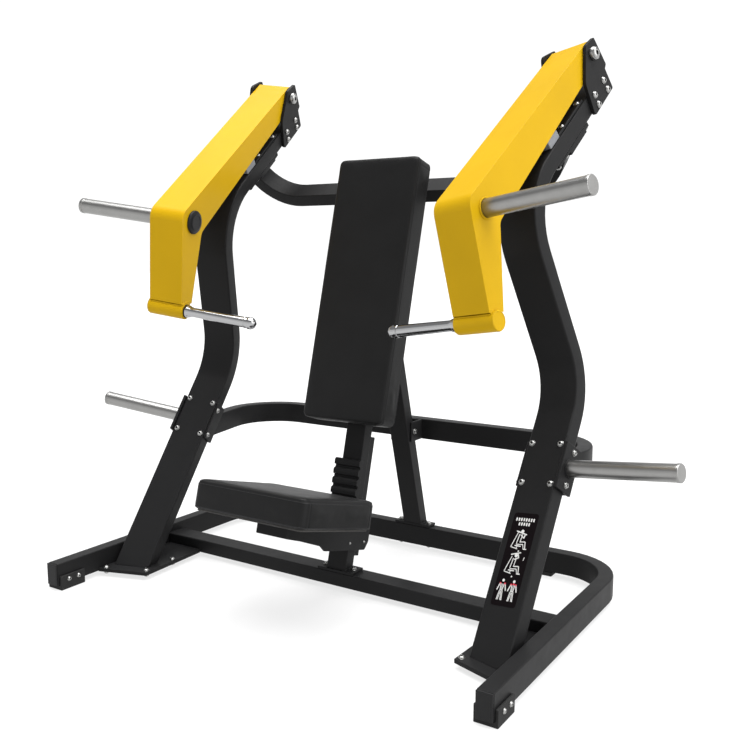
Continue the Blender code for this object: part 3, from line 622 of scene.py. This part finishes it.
def smooth_by_angle():
    """Geometry node group that shades smooth but keeps the sharp edges."""
    name = "smooth_by_angle"
    if name in bpy.data.node_groups:
        return bpy.data.node_groups[name]
    group = bpy.data.node_groups.new(name, "GeometryNodeTree")
    group.interface.new_socket("Geometry", in_out="INPUT", socket_type="NodeSocketGeometry")
    group.interface.new_socket("Geometry", in_out="OUTPUT", socket_type="NodeSocketGeometry")
    inside = group.nodes.new("NodeGroupInput")
    outside = group.nodes.new("NodeGroupOutput")
    faces = group.nodes.new("GeometryNodeSetShadeSmooth")
    edges = group.nodes.new("GeometryNodeSetShadeSmooth")
    edges.domain = "EDGE"
    angle = group.nodes.new("GeometryNodeInputMeshEdgeAngle")
    compare = group.nodes.new("FunctionNodeCompare")
    compare.operation = "LESS_THAN"
    compare.inputs["B"].default_value = math.radians(SHARP_ANGLE)
    group.links.new(inside.outputs[0], faces.inputs["Geometry"])
    group.links.new(faces.outputs["Geometry"], edges.inputs["Geometry"])
    group.links.new(angle.outputs["Unsigned Angle"], compare.inputs["A"])
    group.links.new(compare.outputs["Result"], edges.inputs["Shade Smooth"])
    group.links.new(edges.outputs["Geometry"], outside.inputs[0])
    return group


def new_piece(name, bm, material, body):
    bmesh.ops.recalc_face_normals(bm, faces=bm.faces)
    mesh = bpy.data.meshes.new(name)
    bm.to_mesh(mesh)
    bm.free()
    mesh.materials.append(material)
    piece = bpy.data.objects.new(name, mesh)
    bpy.context.scene.collection.objects.link(piece)
    mesh.shade_smooth()
    mesh.set_sharp_from_angle(angle=math.radians(40))
    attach(piece, body)
    return piece


# ---------------- finishes of the CAD nodes
def make_materials():
    # lighter black for the edges: wear, and a painted edge highlight
    worn_and_highlit_black = (0.028, 0.028, 0.028)
    looks = {
        "frame_paint": powder_coat("frame_powder_coat", (0.0098, 0.0098, 0.0101), worn_and_highlit_black,
                                   0.44, 0.14, 1.6),
        "bracket_paint": powder_coat("bracket_powder_coat", (0.0100, 0.0100, 0.0103), worn_and_highlit_black,
                                     0.44, 0.14, 1.8),
        # lighter yellow on the edges: wear, and a painted edge highlight
        "arm_paint": powder_coat("arm_powder_coat", (0.445, 0.268, 0.0035), (0.50, 0.33, 0.03),
                                 0.38, 0.05, 1.6, 0.06),
        "handle_chrome": chrome_plate(),
        "upholstery": synthetic_leather("pad_leather", (0.0090, 0.0090, 0.0092)),
        "pad_board": stained_plywood(),
        "foot_rubber": speckled("foot_rubber", (0.016, 0.016, 0.016), 0.78, 700, 0.35),
        "bumper_rubber": speckled("bumper_rubber", (0.150, 0.155, 0.165), 0.62, 500, 0.30, 0.08, 0.5),
        "black_plastic": speckled("black_plastic", (0.0105, 0.0105, 0.0110), 0.46, 1100, 0.18),
        "bush_bronze": turned_metal("bush_bronze", (0.50, 0.34, 0.16), 0.34,
                                    (0.968, 0.207, 0.139), 1500),
    }
    for name in ("left", "right"):
        across = side_matrix(name).to_3x3() @ Vector((1, 0, 0))
        look = "horn_steel_" + name
        looks[look] = turned_metal(look, (0.28, 0.278, 0.272), 0.30, across, 2300)
    looks["horn_steel"] = looks["horn_steel_right"]
    looks["zinc"] = plated_zinc()
    # near-black material for the painted shade in the bolt sockets
    looks["socket_painted_shade"] = speckled("socket_painted_shade", (0.006, 0.006, 0.006), 0.8, 1200, 0.1)
    return looks


LOOKS = make_materials()
ROUNDED = {"frame_paint": 0.0, "handle_chrome": 0.0006, "bush_bronze": 0.0004, "horn_steel": 0.0006}


def dress_nodes():
    """Give each CAD node its finish, with broken edges on the plates."""
    for row in frame["record"]["subparts"]:
        node = frame["nodes"][row["node"]]
        slot = row["material_slot"]
        look = LOOKS[slot]
        if slot == "horn_steel" and row["node"].startswith(("left", "right")):
            look = LOOKS["horn_steel_" + row["node"].split("_")[0]]
        node.data.materials.clear()
        node.data.materials.append(look)
        finish_surface(node, ROUNDED.get(slot, EDGE_ROUND))


# ---------------- fasteners
def upright_point(run, slope, along, out):
    """(rearward, up) at a distance along a straight run and square off it, out to the front."""
    y = run[0] + along * math.sin(slope) - out * math.cos(slope)
    z = run[1] + along * math.cos(slope) + out * math.sin(slope)
    return y, z


class Buttons:
    """A set of button-head bolts that share one piece, with painted shade: dark hexagons laid in the bottoms of
    their sockets.
    """

    def __init__(self):
        self.heads = bmesh.new()
        self.sockets = bmesh.new()

    def add(self, radius, height, matrix):
        drop_in(self.heads, button_bolt(radius, height), matrix)
        # dark hexagon in the socket: painted shade
        drop_in(self.sockets, painted_shade_in_socket(radius, height + 0.0011), matrix)

    def finish(self, name, body="frame"):
        new_piece(name, self.heads, LOOKS["zinc"], body)
        # the dark socket hexagons are painted shade
        new_piece(name + "_painted_socket_shades", self.sockets, LOOKS["socket_painted_shade"], body)


def add_pairs(buttons, matrix, run, slope, bolts, half_gap, radius, height):
    """Bolts in pairs across an upright, on its front or, where out is negative, on its back."""
    for along, out in bolts:
        y, z = upright_point(run, slope, along, out)
        way = 1 if out > 0 else -1
        for across in (-half_gap, half_gap):
            buttons.add(radius, height, at(matrix, (across, y, z),
                                           (0, -way * math.cos(slope), way * math.sin(slope))))


def add_side_fasteners(name, side):
    matrix = side_matrix(name)
    buttons = Buttons()
    for y, z in PLATE_BOLTS:
        for way in (-1, 1):
            buttons.add(0.0094, 0.0054, at(matrix, (way * PIVOT_PLATE_FACE, y, z), (way, 0, 0)))
    for way in (-1, 1):
        buttons.add(0.0158, 0.0040, at(matrix, (way * PIVOT_HEAD_FACE, 0, 0), (way, 0, 0)))
    add_pairs(buttons, matrix, HIGH_RUN, HIGH_SLOPE, STOP_PLATE_BOLTS, 0.046, 0.0078, 0.0044)
    add_pairs(buttons, matrix, HIGH_RUN, HIGH_SLOPE, UPPER_SADDLE_BOLTS, 0.048, 0.0082, 0.0050)
    buttons.finish(name + "_upper_bolts")

    buttons = Buttons()
    for bolts, face, way in ((OUTER_CHEEK_BOLTS, OUTER_CHEEK_FACE, side),
                             (INNER_CHEEK_BOLTS, INNER_CHEEK_FACE, -side)):
        for along, out in bolts:
            y, z = upright_point(LOW_RUN, LOW_SLOPE, along, out)
            buttons.add(0.0082, 0.0050, at(matrix, (way * face, y, z), (way, 0, 0)))
    add_pairs(buttons, matrix, LOW_RUN, LOW_SLOPE, MID_FRONT_BOLTS, 0.046, 0.0084, 0.0050)
    buttons.finish(name + "_mid_saddle_bolts")


def add_base_fasteners(name, side):
    low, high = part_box(name + "_foot_plate")
    buttons = Buttons()
    nuts = bmesh.new()
    inner, outer = (low.x, high.x) if side > 0 else (high.x, low.x)
    places = [(outer - side * 0.018, low.y + 0.018), (inner + side * 0.014, low.y + 0.068),
              (inner + side * 0.022, low.y + 0.190)]
    for x, y in places:
        buttons.add(0.0085, 0.0050, facing((x, y, high.z), (0, 0, 1)))
        drop_in(nuts, nut(0.0082, 0.0046), facing((x, y, low.z), (0, 0, -1)))
    buttons.finish(name + "_foot_plate_bolts")
    new_piece(name + "_foot_plate_nuts", nuts, LOOKS["zinc"], "frame")

    low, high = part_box(name + "_front_shoe")
    buttons = Buttons()
    for face, way in ((low.x, -1), (high.x, 1)):
        for y in (low.y + 0.030, low.y + 0.066):
            buttons.add(0.0064, 0.0038, facing((face, y, high.z - 0.014), (way, 0, 0)))
    buttons.finish(name + "_shoe_bolts")


def add_centre_fasteners():
    group = bmesh.new()
    for node, offset, tube_node in (("post_foot_plate", 0.052, "front_crossbar"),
                                    ("strut_foot_plate", 0.056, "base_frame")):
        low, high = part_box(node)
        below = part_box(tube_node)[0].z
        y = (low.y + high.y) / 2
        for x in (-offset, offset):
            drop_in(group, hex_bolt(0.0080, 0.0058), facing((x, y, high.z), (0, 0, 1)))
            drop_in(group, nut(0.0080, 0.0056), facing((x, y, below), (0, 0, -1)))
    low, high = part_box("strut_bracket")
    middle = (low.z + high.z) / 2
    for way, face in ((-1, low.x), (1, high.x)):
        drop_in(group, hex_bolt(0.0080, 0.0058), facing((face, low.y + 0.020, middle), (way, 0, 0)))
    new_piece("centre_bolts", group, LOOKS["zinc"], "frame")


def add_seat_fasteners():
    """Bolts through the side plates of the seat carriage."""
    up, forward = recline_axes()
    buttons = Buttons()
    low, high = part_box("seat_carriage")
    top = span("seat_carriage", up)[1]
    front = span("seat_carriage", forward)[1]
    for ahead, under, ways in CARRIAGE_BOLTS:
        place = forward * (front + ahead) + up * (top + under)
        for way in ways:
            face = high.x if way > 0 else low.x
            buttons.add(0.0038, 0.0026, facing((face, place.y, place.z), (way, 0, 0)))
    buttons.finish("carriage_bolts", "seat")


# ---------------- welds
def add_welds():
    down = (0, 0, -1)
    ends = [("seat_post", down, 0, 0.0016, WELD_RADIUS), ("rear_strut", down, 0, 0.0016, WELD_RADIUS),
            ("rear_strut", recline_axes()[1], 0, 0.0010, SMALL_WELD)]
    ends += [("front_crossbar", (side, 0, 0), side, 0.0012, SMALL_WELD) for side in (-1, 1)]
    for name, side in (("left", -1), ("right", 1)):
        ends.append((name + "_upright", down, 0, 0.0018, WELD_RADIUS))
        matrix = side_matrix(name).to_3x3()
        for node, slope in (("mid_crossbar", LOW_SLOPE), ("upper_crossbar", HIGH_SLOPE)):
            out = matrix @ Vector((0, -math.cos(slope), math.sin(slope)))
            ends.append((node, out, side, 0.0012, SMALL_WELD))
    group = bmesh.new()
    for node, outward, half, grow, radius in ends:
        loop, normal = rim(node, outward, half, grow)
        drop_in(group, weld_bead(loop, normal, radius))
    new_piece("frame_welds", group, LOOKS["frame_paint"], "frame")


def arc(matrix, centre, radius, turns):
    """Points round (across, rearward, up) in the plane of an upright, at turns in degrees."""
    points = []
    for turn in turns:
        spoke = math.radians(turn)
        y, z = centre[1] + radius * math.cos(spoke), centre[2] + radius * math.sin(spoke)
        points.append(matrix @ Vector((centre[0], y, z)))
    return points


def circle(matrix, centre, radius, steps=48):
    return arc(matrix, centre, radius, [360 * i / steps for i in range(steps)])


def add_arm_details(name, side):
    matrix = side_matrix(name)
    turn = matrix.to_3x3()
    across = turn @ Vector((1, 0, 0))
    body = name + "_press_arm"
    half = ARM_HALF_WIDTH

    group = bmesh.new()
    horn_root = circle(matrix, (side * (half + 0.0016), *ELBOW), 0.0264)
    drop_in(group, weld_bead(horn_root, across, 0.0026))
    for spoke in (math.radians(38), math.radians(142)):
        y, z = SOCKET[0] + 0.0282 * math.cos(spoke), SOCKET[1] + 0.0282 * math.sin(spoke)
        run = [matrix @ Vector((x, y, z)) for x in (-half + 0.001, half - 0.001)]
        drop_in(group, weld_bead(run, turn @ Vector((0, 0, 1)), 0.0024, False))
    for way in (-1, 1):
        over = arc(matrix, (way * (half + 0.0004), *SOCKET), 0.0286, range(42, 139, 8))
        drop_in(group, weld_bead(over, across, 0.0020, False))
    new_piece(name + "_arm_welds", group, LOOKS["arm_paint"], body)

    def fit(shape, distance, centre):
        """Add a turned shape that faces outward at a distance from the arm's mid plane."""
        way = 1 if distance > 0 else -1
        drop_in(group, shape, at(matrix, (side * distance, *centre), (side * way, 0, 0)))

    group = bmesh.new()
    neck = ((0.0158, 0), (0.0212, 0.0004), (0.0212, 0.0022), (0.0160, 0.0030))
    fit(turned(neck, 36), -SOCKET_INNER_END, SOCKET)
    rim_ring = ((0.0236, 0), (0.0252, 0.0012), (0.0252, 0.0022), (0.0228, 0.0026), (0.0216, 0.0014))
    fit(turned(rim_ring, 36), -HORN_CAP_FACE, ELBOW)
    # dark hexagon in the ball end's socket: painted shade
    fit(painted_shade_in_socket(0.0105, 0.0030), 0.00145 - HANDLE_TIP, SOCKET)
    new_piece(name + "_arm_trims_and_socket_shade", group, LOOKS["black_plastic"], body)

    group = bmesh.new()
    band = ((0.0150, 0), (0.0176, 0.0006), (0.0182, 0.0020), (0.0176, 0.0034), (0.0150, 0.0040))
    fit(turned(band, 36), 0.0390 - HANDLE_TIP, SOCKET)
    new_piece(name + "_handle_band", group, LOOKS["handle_chrome"], body)

    group = bmesh.new()
    cap = ((0.0262, 0), (0.0262, 0.0010), (0.0240, 0.0018), (0.0236, 0.0010), (0.010, 0.0009))
    fit(turned(cap, 36), SOCKET_OUTER_END, SOCKET)
    new_piece(name + "_socket_cap", group, LOOKS["arm_paint"], body)


def add_horn_weld(name, side):
    matrix = side_matrix(name)
    across = matrix.to_3x3() @ Vector((1, 0, 0))
    root = circle(matrix, (side * STORAGE_PLATE_FACE, *STORAGE), 0.0252)
    new_piece(name + "_storage_horn_weld", weld_bead(root, across, 0.0026), LOOKS["bracket_paint"],
              "frame")


# ---------------- pads
def pad_matrix(node, along, normal):
    """Local X across, Y along, Z out of the board; origin at the middle of the board side."""
    side = along.cross(normal)
    lows, highs = zip(*(span(node, axis) for axis in (side, along, normal)))
    size = [h - l for l, h in zip(lows, highs)]
    origin = side * (lows[0] + size[0] / 2) + along * (lows[1] + size[1] / 2) + normal * lows[2]
    turn = Matrix((side, along, normal)).transposed().to_4x4()
    return Matrix.Translation(origin) @ turn, size


def pad_core(size):
    """Foam block: rounded corners, softly rounded face edges, slightly small so that it can swell."""
    shrink = PAD_SWELL
    width, length, thick = size[0] - 2 * shrink, size[1] - 2 * shrink, size[2] - shrink
    bm = bmesh.new()
    bmesh.ops.create_cube(bm, size=1.0)
    bmesh.ops.scale(bm, vec=(width, length, thick), verts=bm.verts)
    bmesh.ops.translate(bm, vec=(0, 0, thick / 2), verts=bm.verts)
    upright_edges = [e for e in bm.edges if abs(e.verts[0].co.z - e.verts[1].co.z) > thick / 2]
    bmesh.ops.bevel(bm, geom=upright_edges, offset=PAD_CORNER, segments=8, affect="EDGES", profile=0.5)
    face_edges = [e for e in bm.edges if all(v.co.z > thick - 0.0001 for v in e.verts)]
    bmesh.ops.bevel(bm, geom=face_edges, offset=0.010, segments=6, affect="EDGES", profile=0.5)
    back_edges = [e for e in bm.edges if all(v.co.z < 0.0001 for v in e.verts)]
    bmesh.ops.bevel(bm, geom=back_edges, offset=0.003, segments=3, affect="EDGES", profile=0.5)
    return bm


def swell(pad):
    """Inflate the cover with cloth pressure, hold it flat on the board and cap how far it moves."""
    before = np.array([v.co for v in pad.data.vertices])
    cloth = pad.modifiers.new("cover", "CLOTH")
    cloth.settings.use_pressure = True
    cloth.settings.uniform_pressure_force = 4.0
    cloth.settings.effector_weights.gravity = 0.0
    cloth.settings.quality = 4
    cloth.point_cache.frame_start = 1
    cloth.point_cache.frame_end = 20
    scene = bpy.context.scene
    for number in range(1, 21):
        scene.frame_set(number)
    shape = pad.evaluated_get(bpy.context.evaluated_depsgraph_get()).data
    after = np.array([v.co for v in shape.vertices])
    pad.modifiers.remove(cloth)
    scene.frame_set(1)
    move = after - before
    reach = np.linalg.norm(move, axis=1)
    move *= np.minimum(1.0, PAD_SWELL / np.maximum(reach, 1e-9))[:, None]
    move *= np.clip(before[:, 2:3] / 0.012, 0.0, 1.0)
    after = before + move
    pad.data.vertices.foreach_set("co", after.astype(np.float32).ravel())


def crown(pad, size, height):
    """Raise the middle of the face a little more than its edges."""
    for vertex in pad.data.vertices:
        x = 2 * vertex.co.x / size[0]
        y = 2 * vertex.co.y / size[1]
        lift = max(0.0, 1 - x * x) ** 0.5 * max(0.0, 1 - y ** 4) ** 0.5
        share = max(0.0, min(1.0, vertex.co.z / size[2]))
        vertex.co.z += height * lift * share ** 3 - height * share ** 3


def fill_box(pad, size):
    """Stretch the cover so that it just fills the size it has to have."""
    low = [min(v.co[i] for v in pad.data.vertices) for i in range(3)]
    high = [max(v.co[i] for v in pad.data.vertices) for i in range(3)]
    starts = (-size[0] / 2, -size[1] / 2, 0.0)
    for vertex in pad.data.vertices:
        for i in range(3):
            share = (vertex.co[i] - low[i]) / (high[i] - low[i])
            vertex.co[i] = starts[i] + share * size[i]


def seam_distance(point, size, seam_z):
    """How far a point on the side of the cover is from the nearest seam."""
    distances = [abs(point.z - seam_z)]
    inset_x = size[0] / 2 - 0.004
    if abs(point.x) > inset_x - 0.004 and point.z < seam_z:
        distances.append(abs(abs(point.y) - (size[1] / 2 - PAD_CORNER - 0.010)))
    return min(distances)


def press_seams(pad, size, seam_z):
    """Pull the cover in along the boxing seam and the upright seams behind the corners."""
    normals = [vertex.normal.copy() for vertex in pad.data.vertices]
    for vertex, normal in zip(pad.data.vertices, normals):
        if abs(normal.z) > 0.75:
            continue
        gap = seam_distance(vertex.co, size, seam_z)
        if gap < 4 * SEAM_SPREAD:
            vertex.co -= normal * SEAM_DEPTH * math.exp(-((gap / SEAM_SPREAD) ** 2))


def cover_tree(pad):
    return BVHTree.FromPolygons([v.co.copy() for v in pad.data.vertices],
                                [tuple(p.vertices) for p in pad.data.polygons])


def add_stitches(name, tree, path, matrix, body, drop):
    """Short thread stitches laid on the cover along a closed path, moved by drop along Z first."""
    group = bmesh.new()
    dots = resample(path, STITCH_PITCH)
    for i, dot in enumerate(dots):
        ahead = dots[(i + 1) % len(dots)]
        along = (ahead - dot).normalized()
        place, normal = tree.find_nearest(dot + Vector((0, 0, drop)))[:2]
        middle = place + normal * 0.0001
        half = STITCH_PITCH * 0.33
        run = [middle - along * half, middle - along * half * 0.6 + normal * 0.0004,
               middle + along * half * 0.6 + normal * 0.0004, middle + along * half]
        drop_in(group, tube(run, 0.00042, 6, False, None, (normal, 1.0)), matrix)
    return new_piece(name, group, LOOKS["thread"], body)


def make_pad(name, node, along, normal, body, crown_height, seam_drop):
    matrix, size = pad_matrix(node, along, normal)
    bm = pad_core(size)
    mesh = bpy.data.meshes.new(name)
    bm.to_mesh(mesh)
    bm.free()
    pad = bpy.data.objects.new(name, mesh)
    bpy.context.scene.collection.objects.link(pad)
    voxel = pad.modifiers.new("even", "REMESH")
    voxel.mode = "VOXEL"
    voxel.voxel_size = PAD_VOXEL
    voxel.use_smooth_shade = True
    freeze(pad)
    swell(pad)
    crown(pad, size, crown_height)
    relax = pad.modifiers.new("relax", "SMOOTH")
    relax.iterations = 10
    relax.factor = 0.5
    refine = pad.modifiers.new("refine", "SUBSURF")
    refine.levels = refine.render_levels = 1
    freeze(pad)
    fill_box(pad, size)
    seam_z = size[2] - seam_drop
    press_seams(pad, size, seam_z)
    pad.data.materials.clear()
    pad.data.materials.append(LOOKS["upholstery"])
    pad.data.shade_smooth()

    tree = cover_tree(pad)
    edge = pad_loop(size, seam_z)
    add_stitches(name + "_stitches", tree, edge, matrix, body, -0.0032)
    laid = [tree.find_nearest(point)[0] for point in resample(pad_loop(size, 0.0040), 0.006)]
    inward = [Vector((-p.x, -p.y, 0)).normalized() * 0.0006 for p in laid]
    path = [p + shift for p, shift in zip(laid, inward)]
    group = bmesh.new()
    drop_in(group, tube(path, 0.0016, 10), matrix)
    new_piece(name + "_welt", group, LOOKS["welt"], body)

    pad.data.transform(matrix)
    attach(pad, body)
    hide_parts(node)
    return pad


def pad_loop(size, level):
    loop = rounded_rectangle(size[0] / 2, size[1] / 2, PAD_CORNER, 8)
    return [point + Vector((0, 0, level)) for point in loop]


def freeze(piece):
    """Make the mesh what its modifiers show."""
    graph = bpy.context.evaluated_depsgraph_get()
    mesh = bpy.data.meshes.new_from_object(piece.evaluated_get(graph))
    piece.modifiers.clear()
    piece.data = mesh


def add_pads():
    up, forward = recline_axes()
    LOOKS["thread"] = speckled("seam_thread", (0.035, 0.035, 0.036), 0.55, 2500, 0.3)
    LOOKS["welt"] = synthetic_leather("welt_leather", (0.016, 0.016, 0.0165), 0.5)
    make_pad("back_cushion", "back_pad", up, forward, "frame", 0.0015, 0.016)
    make_pad("seat_cushion", "seat_pad", -forward, up, "seat", 0.0020, 0.0115)


# ---------------- label
def flat_shape(outline, level, thick):
    bm = bmesh.new()
    verts = [bm.verts.new((x, y, level)) for x, y in outline]
    face = bm.faces.new(verts)
    drawn = bmesh.ops.extrude_face_region(bm, geom=[face])
    top = [item for item in drawn["geom"] if isinstance(item, bmesh.types.BMVert)]
    bmesh.ops.translate(bm, verts=top, vec=(0, 0, thick))
    return bm


def stroke(start, end, width):
    """Straight line with round ends, as an outline."""
    start, end = Vector(start), Vector(end)
    turn = math.atan2(end.y - start.y, end.x - start.x)
    outline = []
    for centre, first in ((end, -90), (start, 90)):
        for k in range(7):
            a = turn + math.radians(first + 30 * k)
            outline.append((centre.x + width / 2 * math.cos(a), centre.y + width / 2 * math.sin(a)))
    return outline


def disc(centre, radius, steps=20):
    return [(centre[0] + radius * math.cos(2 * math.pi * i / steps),
             centre[1] + radius * math.sin(2 * math.pi * i / steps)) for i in range(steps)]


def add_label():
    """Instruction label on the right upright, with two seated figures and two standing ones."""
    y, z = upright_point(LOW_RUN, LOW_SLOPE, LABEL_ALONG, UPRIGHT_HALF_DEPTH + 0.0001)
    face = (0, -math.cos(LOW_SLOPE), math.sin(LOW_SLOPE))
    base = at(side_matrix("right"), (0, y, z), face)
    outline = [(p.x, p.y) for p in rounded_rectangle(LABEL_WIDTH / 2, LABEL_HEIGHT / 2, 0.009, 5)]
    film = bmesh.new()
    drop_in(film, flat_shape(outline, 0, 0.0004), base)
    black = speckled("label_film", (0.0034, 0.0022, 0.0027), 0.5, 1500, 0.04, 0.1, 0.04)
    new_piece("label_film", film, black, "frame")

    white, red = bmesh.new(), bmesh.new()

    def draw(group, shape, middle=(0, 0), size=1.0):
        moved = [(middle[0] + size * x, middle[1] + size * y) for x, y in shape]
        drop_in(group, flat_shape(moved, 0.0004, 0.00015), base)

    def draw_lines(lines, middle, size, way=1):
        """White lines, mirrored left to right where way is -1."""
        for line in lines:
            x1, y1, x2, y2, width = (LABEL_UNIT * value for value in line)
            draw(white, stroke((way * x1, y1), (way * x2, y2), width), middle, size)

    for middle, arms in (((0.0, 0.051), ARMS_LOW), ((0.0, -0.016), ARMS_HIGH)):
        draw(white, disc((0.001, 0.0205), 0.0038), middle, SEATED_SIZE)
        draw_lines(SEATED_BODY + arms, middle, SEATED_SIZE)
    shoulders = ((-0.0052, 0.0135), (0.0052, 0.0135))
    for middle, marks in (((-0.017, -0.087), shoulders), ((0.017, -0.087), (*shoulders, (0, 0.0150)))):
        draw(white, disc((0, 0.0200), 0.0028), middle, STANDING_SIZE)
        draw_lines(STANDING_TRUNK, middle, STANDING_SIZE)
        for way in (-1, 1):
            draw_lines(STANDING_SIDE, middle, STANDING_SIZE, way)
        for mark in marks:
            draw(red, disc(mark, 0.0021), middle, STANDING_SIZE)
    for row, count in ((0.1085, 8), (0.0960, 5)):
        for k in range(count):
            x = (k - (count - 1) / 2) * 0.0078
            draw(white, stroke((x, row - 0.0026), (x, row + 0.0026), 0.0044))
    for spot in (0.0215, -0.0475):
        draw(white, disc((0.004, spot), 0.0022))
    ink = speckled("label_white", (0.52, 0.52, 0.51), 0.42, 1500, 0.04, 0.03)
    red_ink = speckled("label_red", (0.50, 0.03, 0.05), 0.42, 1500, 0.04, 0.03)
    new_piece("label_figures", white, ink, "frame")
    new_piece("label_highlights", red, red_ink, "frame")


# ---------------- small fittings
def add_small_fittings():
    """Raised frames on the tube end caps."""
    for name in ("left", "right"):
        low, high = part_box(name + "_end_cap")
        middle = (low + high) / 2
        loop = rounded_rectangle((high.x - low.x) / 2 - 0.006, (high.z - low.z) / 2 - 0.006, 0.005)
        path = resample([Vector((middle.x + p.x, low.y, middle.z + p.y)) for p in loop], 0.002)
        rib = tube(path, 0.0010, 8, True, None, ((0, 1, 0), 0.4))
        new_piece(name + "_end_cap_rib", rib, LOOKS["black_plastic"], "frame")


# ---------------- stage
def add_stage():
    floor_mesh = bpy.data.meshes.new("floor")
    bm = bmesh.new()
    bmesh.ops.create_circle(bm, cap_ends=True, radius=40, segments=96)
    bm.to_mesh(floor_mesh)
    bm.free()
    floor = bpy.data.objects.new("floor", floor_mesh)
    bpy.context.scene.collection.objects.link(floor)
    floor.location.z = cad_box[0].z - 0.0005
    material, tree, shader = new_material("studio_floor", (0.17, 0.17, 0.17), 0.8,
                                          Emission_Strength=0.74)
    cloud = noise(tree, place_coordinates(tree), 1.4, 3)
    tone = ramp(tree, cloud, [(0.3, (0.165, 0.165, 0.165)), (0.7, (0.175, 0.175, 0.175))])
    tree.links.new(tone, shader.inputs["Base Color"])
    shader.inputs["Emission Color"].default_value = (1.0, 1.0, 1.0, 1.0)
    floor.data.materials.append(material)

    world = bpy.data.worlds.new("studio")
    bpy.context.scene.world = world
    world.use_nodes = True
    tree = world.node_tree
    background = tree.nodes["Background"]
    coordinates = shader_node(tree, "TexCoord")
    split = shader_node(tree, "SeparateXYZ")
    tree.links.new(coordinates.outputs["Generated"], split.inputs["Vector"])
    stops = ((0.0, 1.0, 1.0), (0.32, 1.0, 1.0), (0.44, 0.40, 0.405), (1.0, 0.30, 0.305))
    glow = ramp(tree, split.outputs["Z"], [(height, (grey, grey, blue)) for height, grey, blue in stops])
    tree.links.new(glow, background.inputs["Color"])
    background.inputs["Strength"].default_value = 1.08

    def bank(name, towards, strength, spread):
        """Wide, even light from one direction."""
        light = bpy.data.lights.new(name, "SUN")
        light.energy = strength
        light.angle = math.radians(spread)
        lamp = bpy.data.objects.new(name, light)
        bpy.context.scene.collection.objects.link(lamp)
        lamp.rotation_euler = Vector(towards).to_track_quat("Z", "Y").to_euler()

    bank("overhead_bank", (0.03, 0.05, 1.0), 6.8, 62)
    bank("right_bank", (0.88, 0.12, 0.46), 2.3, 60)


def add_camera():
    camera = bpy.data.objects.new("camera", bpy.data.cameras.new("camera"))
    bpy.context.scene.collection.objects.link(camera)
    camera.data.lens = CAMERA_LENS
    camera.data.sensor_width = 36.0
    back = Vector((math.sin(CAMERA_AZIMUTH) * math.cos(CAMERA_ELEVATION),
                   -math.cos(CAMERA_AZIMUTH) * math.cos(CAMERA_ELEVATION), math.sin(CAMERA_ELEVATION)))
    camera.location = Vector(CAMERA_TARGET) + back * CAMERA_DISTANCE
    camera.rotation_euler = (-back).to_track_quat("-Z", "Y").to_euler()
    camera.data.clip_end = 200
    bpy.context.scene.camera = camera
    bpy.context.scene.view_settings.view_transform = "Standard"


# ---------------- assembly
dress_nodes()
for side_name, side_sign in (("left", -1), ("right", 1)):
    add_side_fasteners(side_name, side_sign)
    add_base_fasteners(side_name, side_sign)
    add_arm_details(side_name, side_sign)
    add_horn_weld(side_name, side_sign)
add_centre_fasteners()
add_seat_fasteners()
add_welds()
add_pads()
add_label()
add_small_fittings()
add_stage()
add_camera()
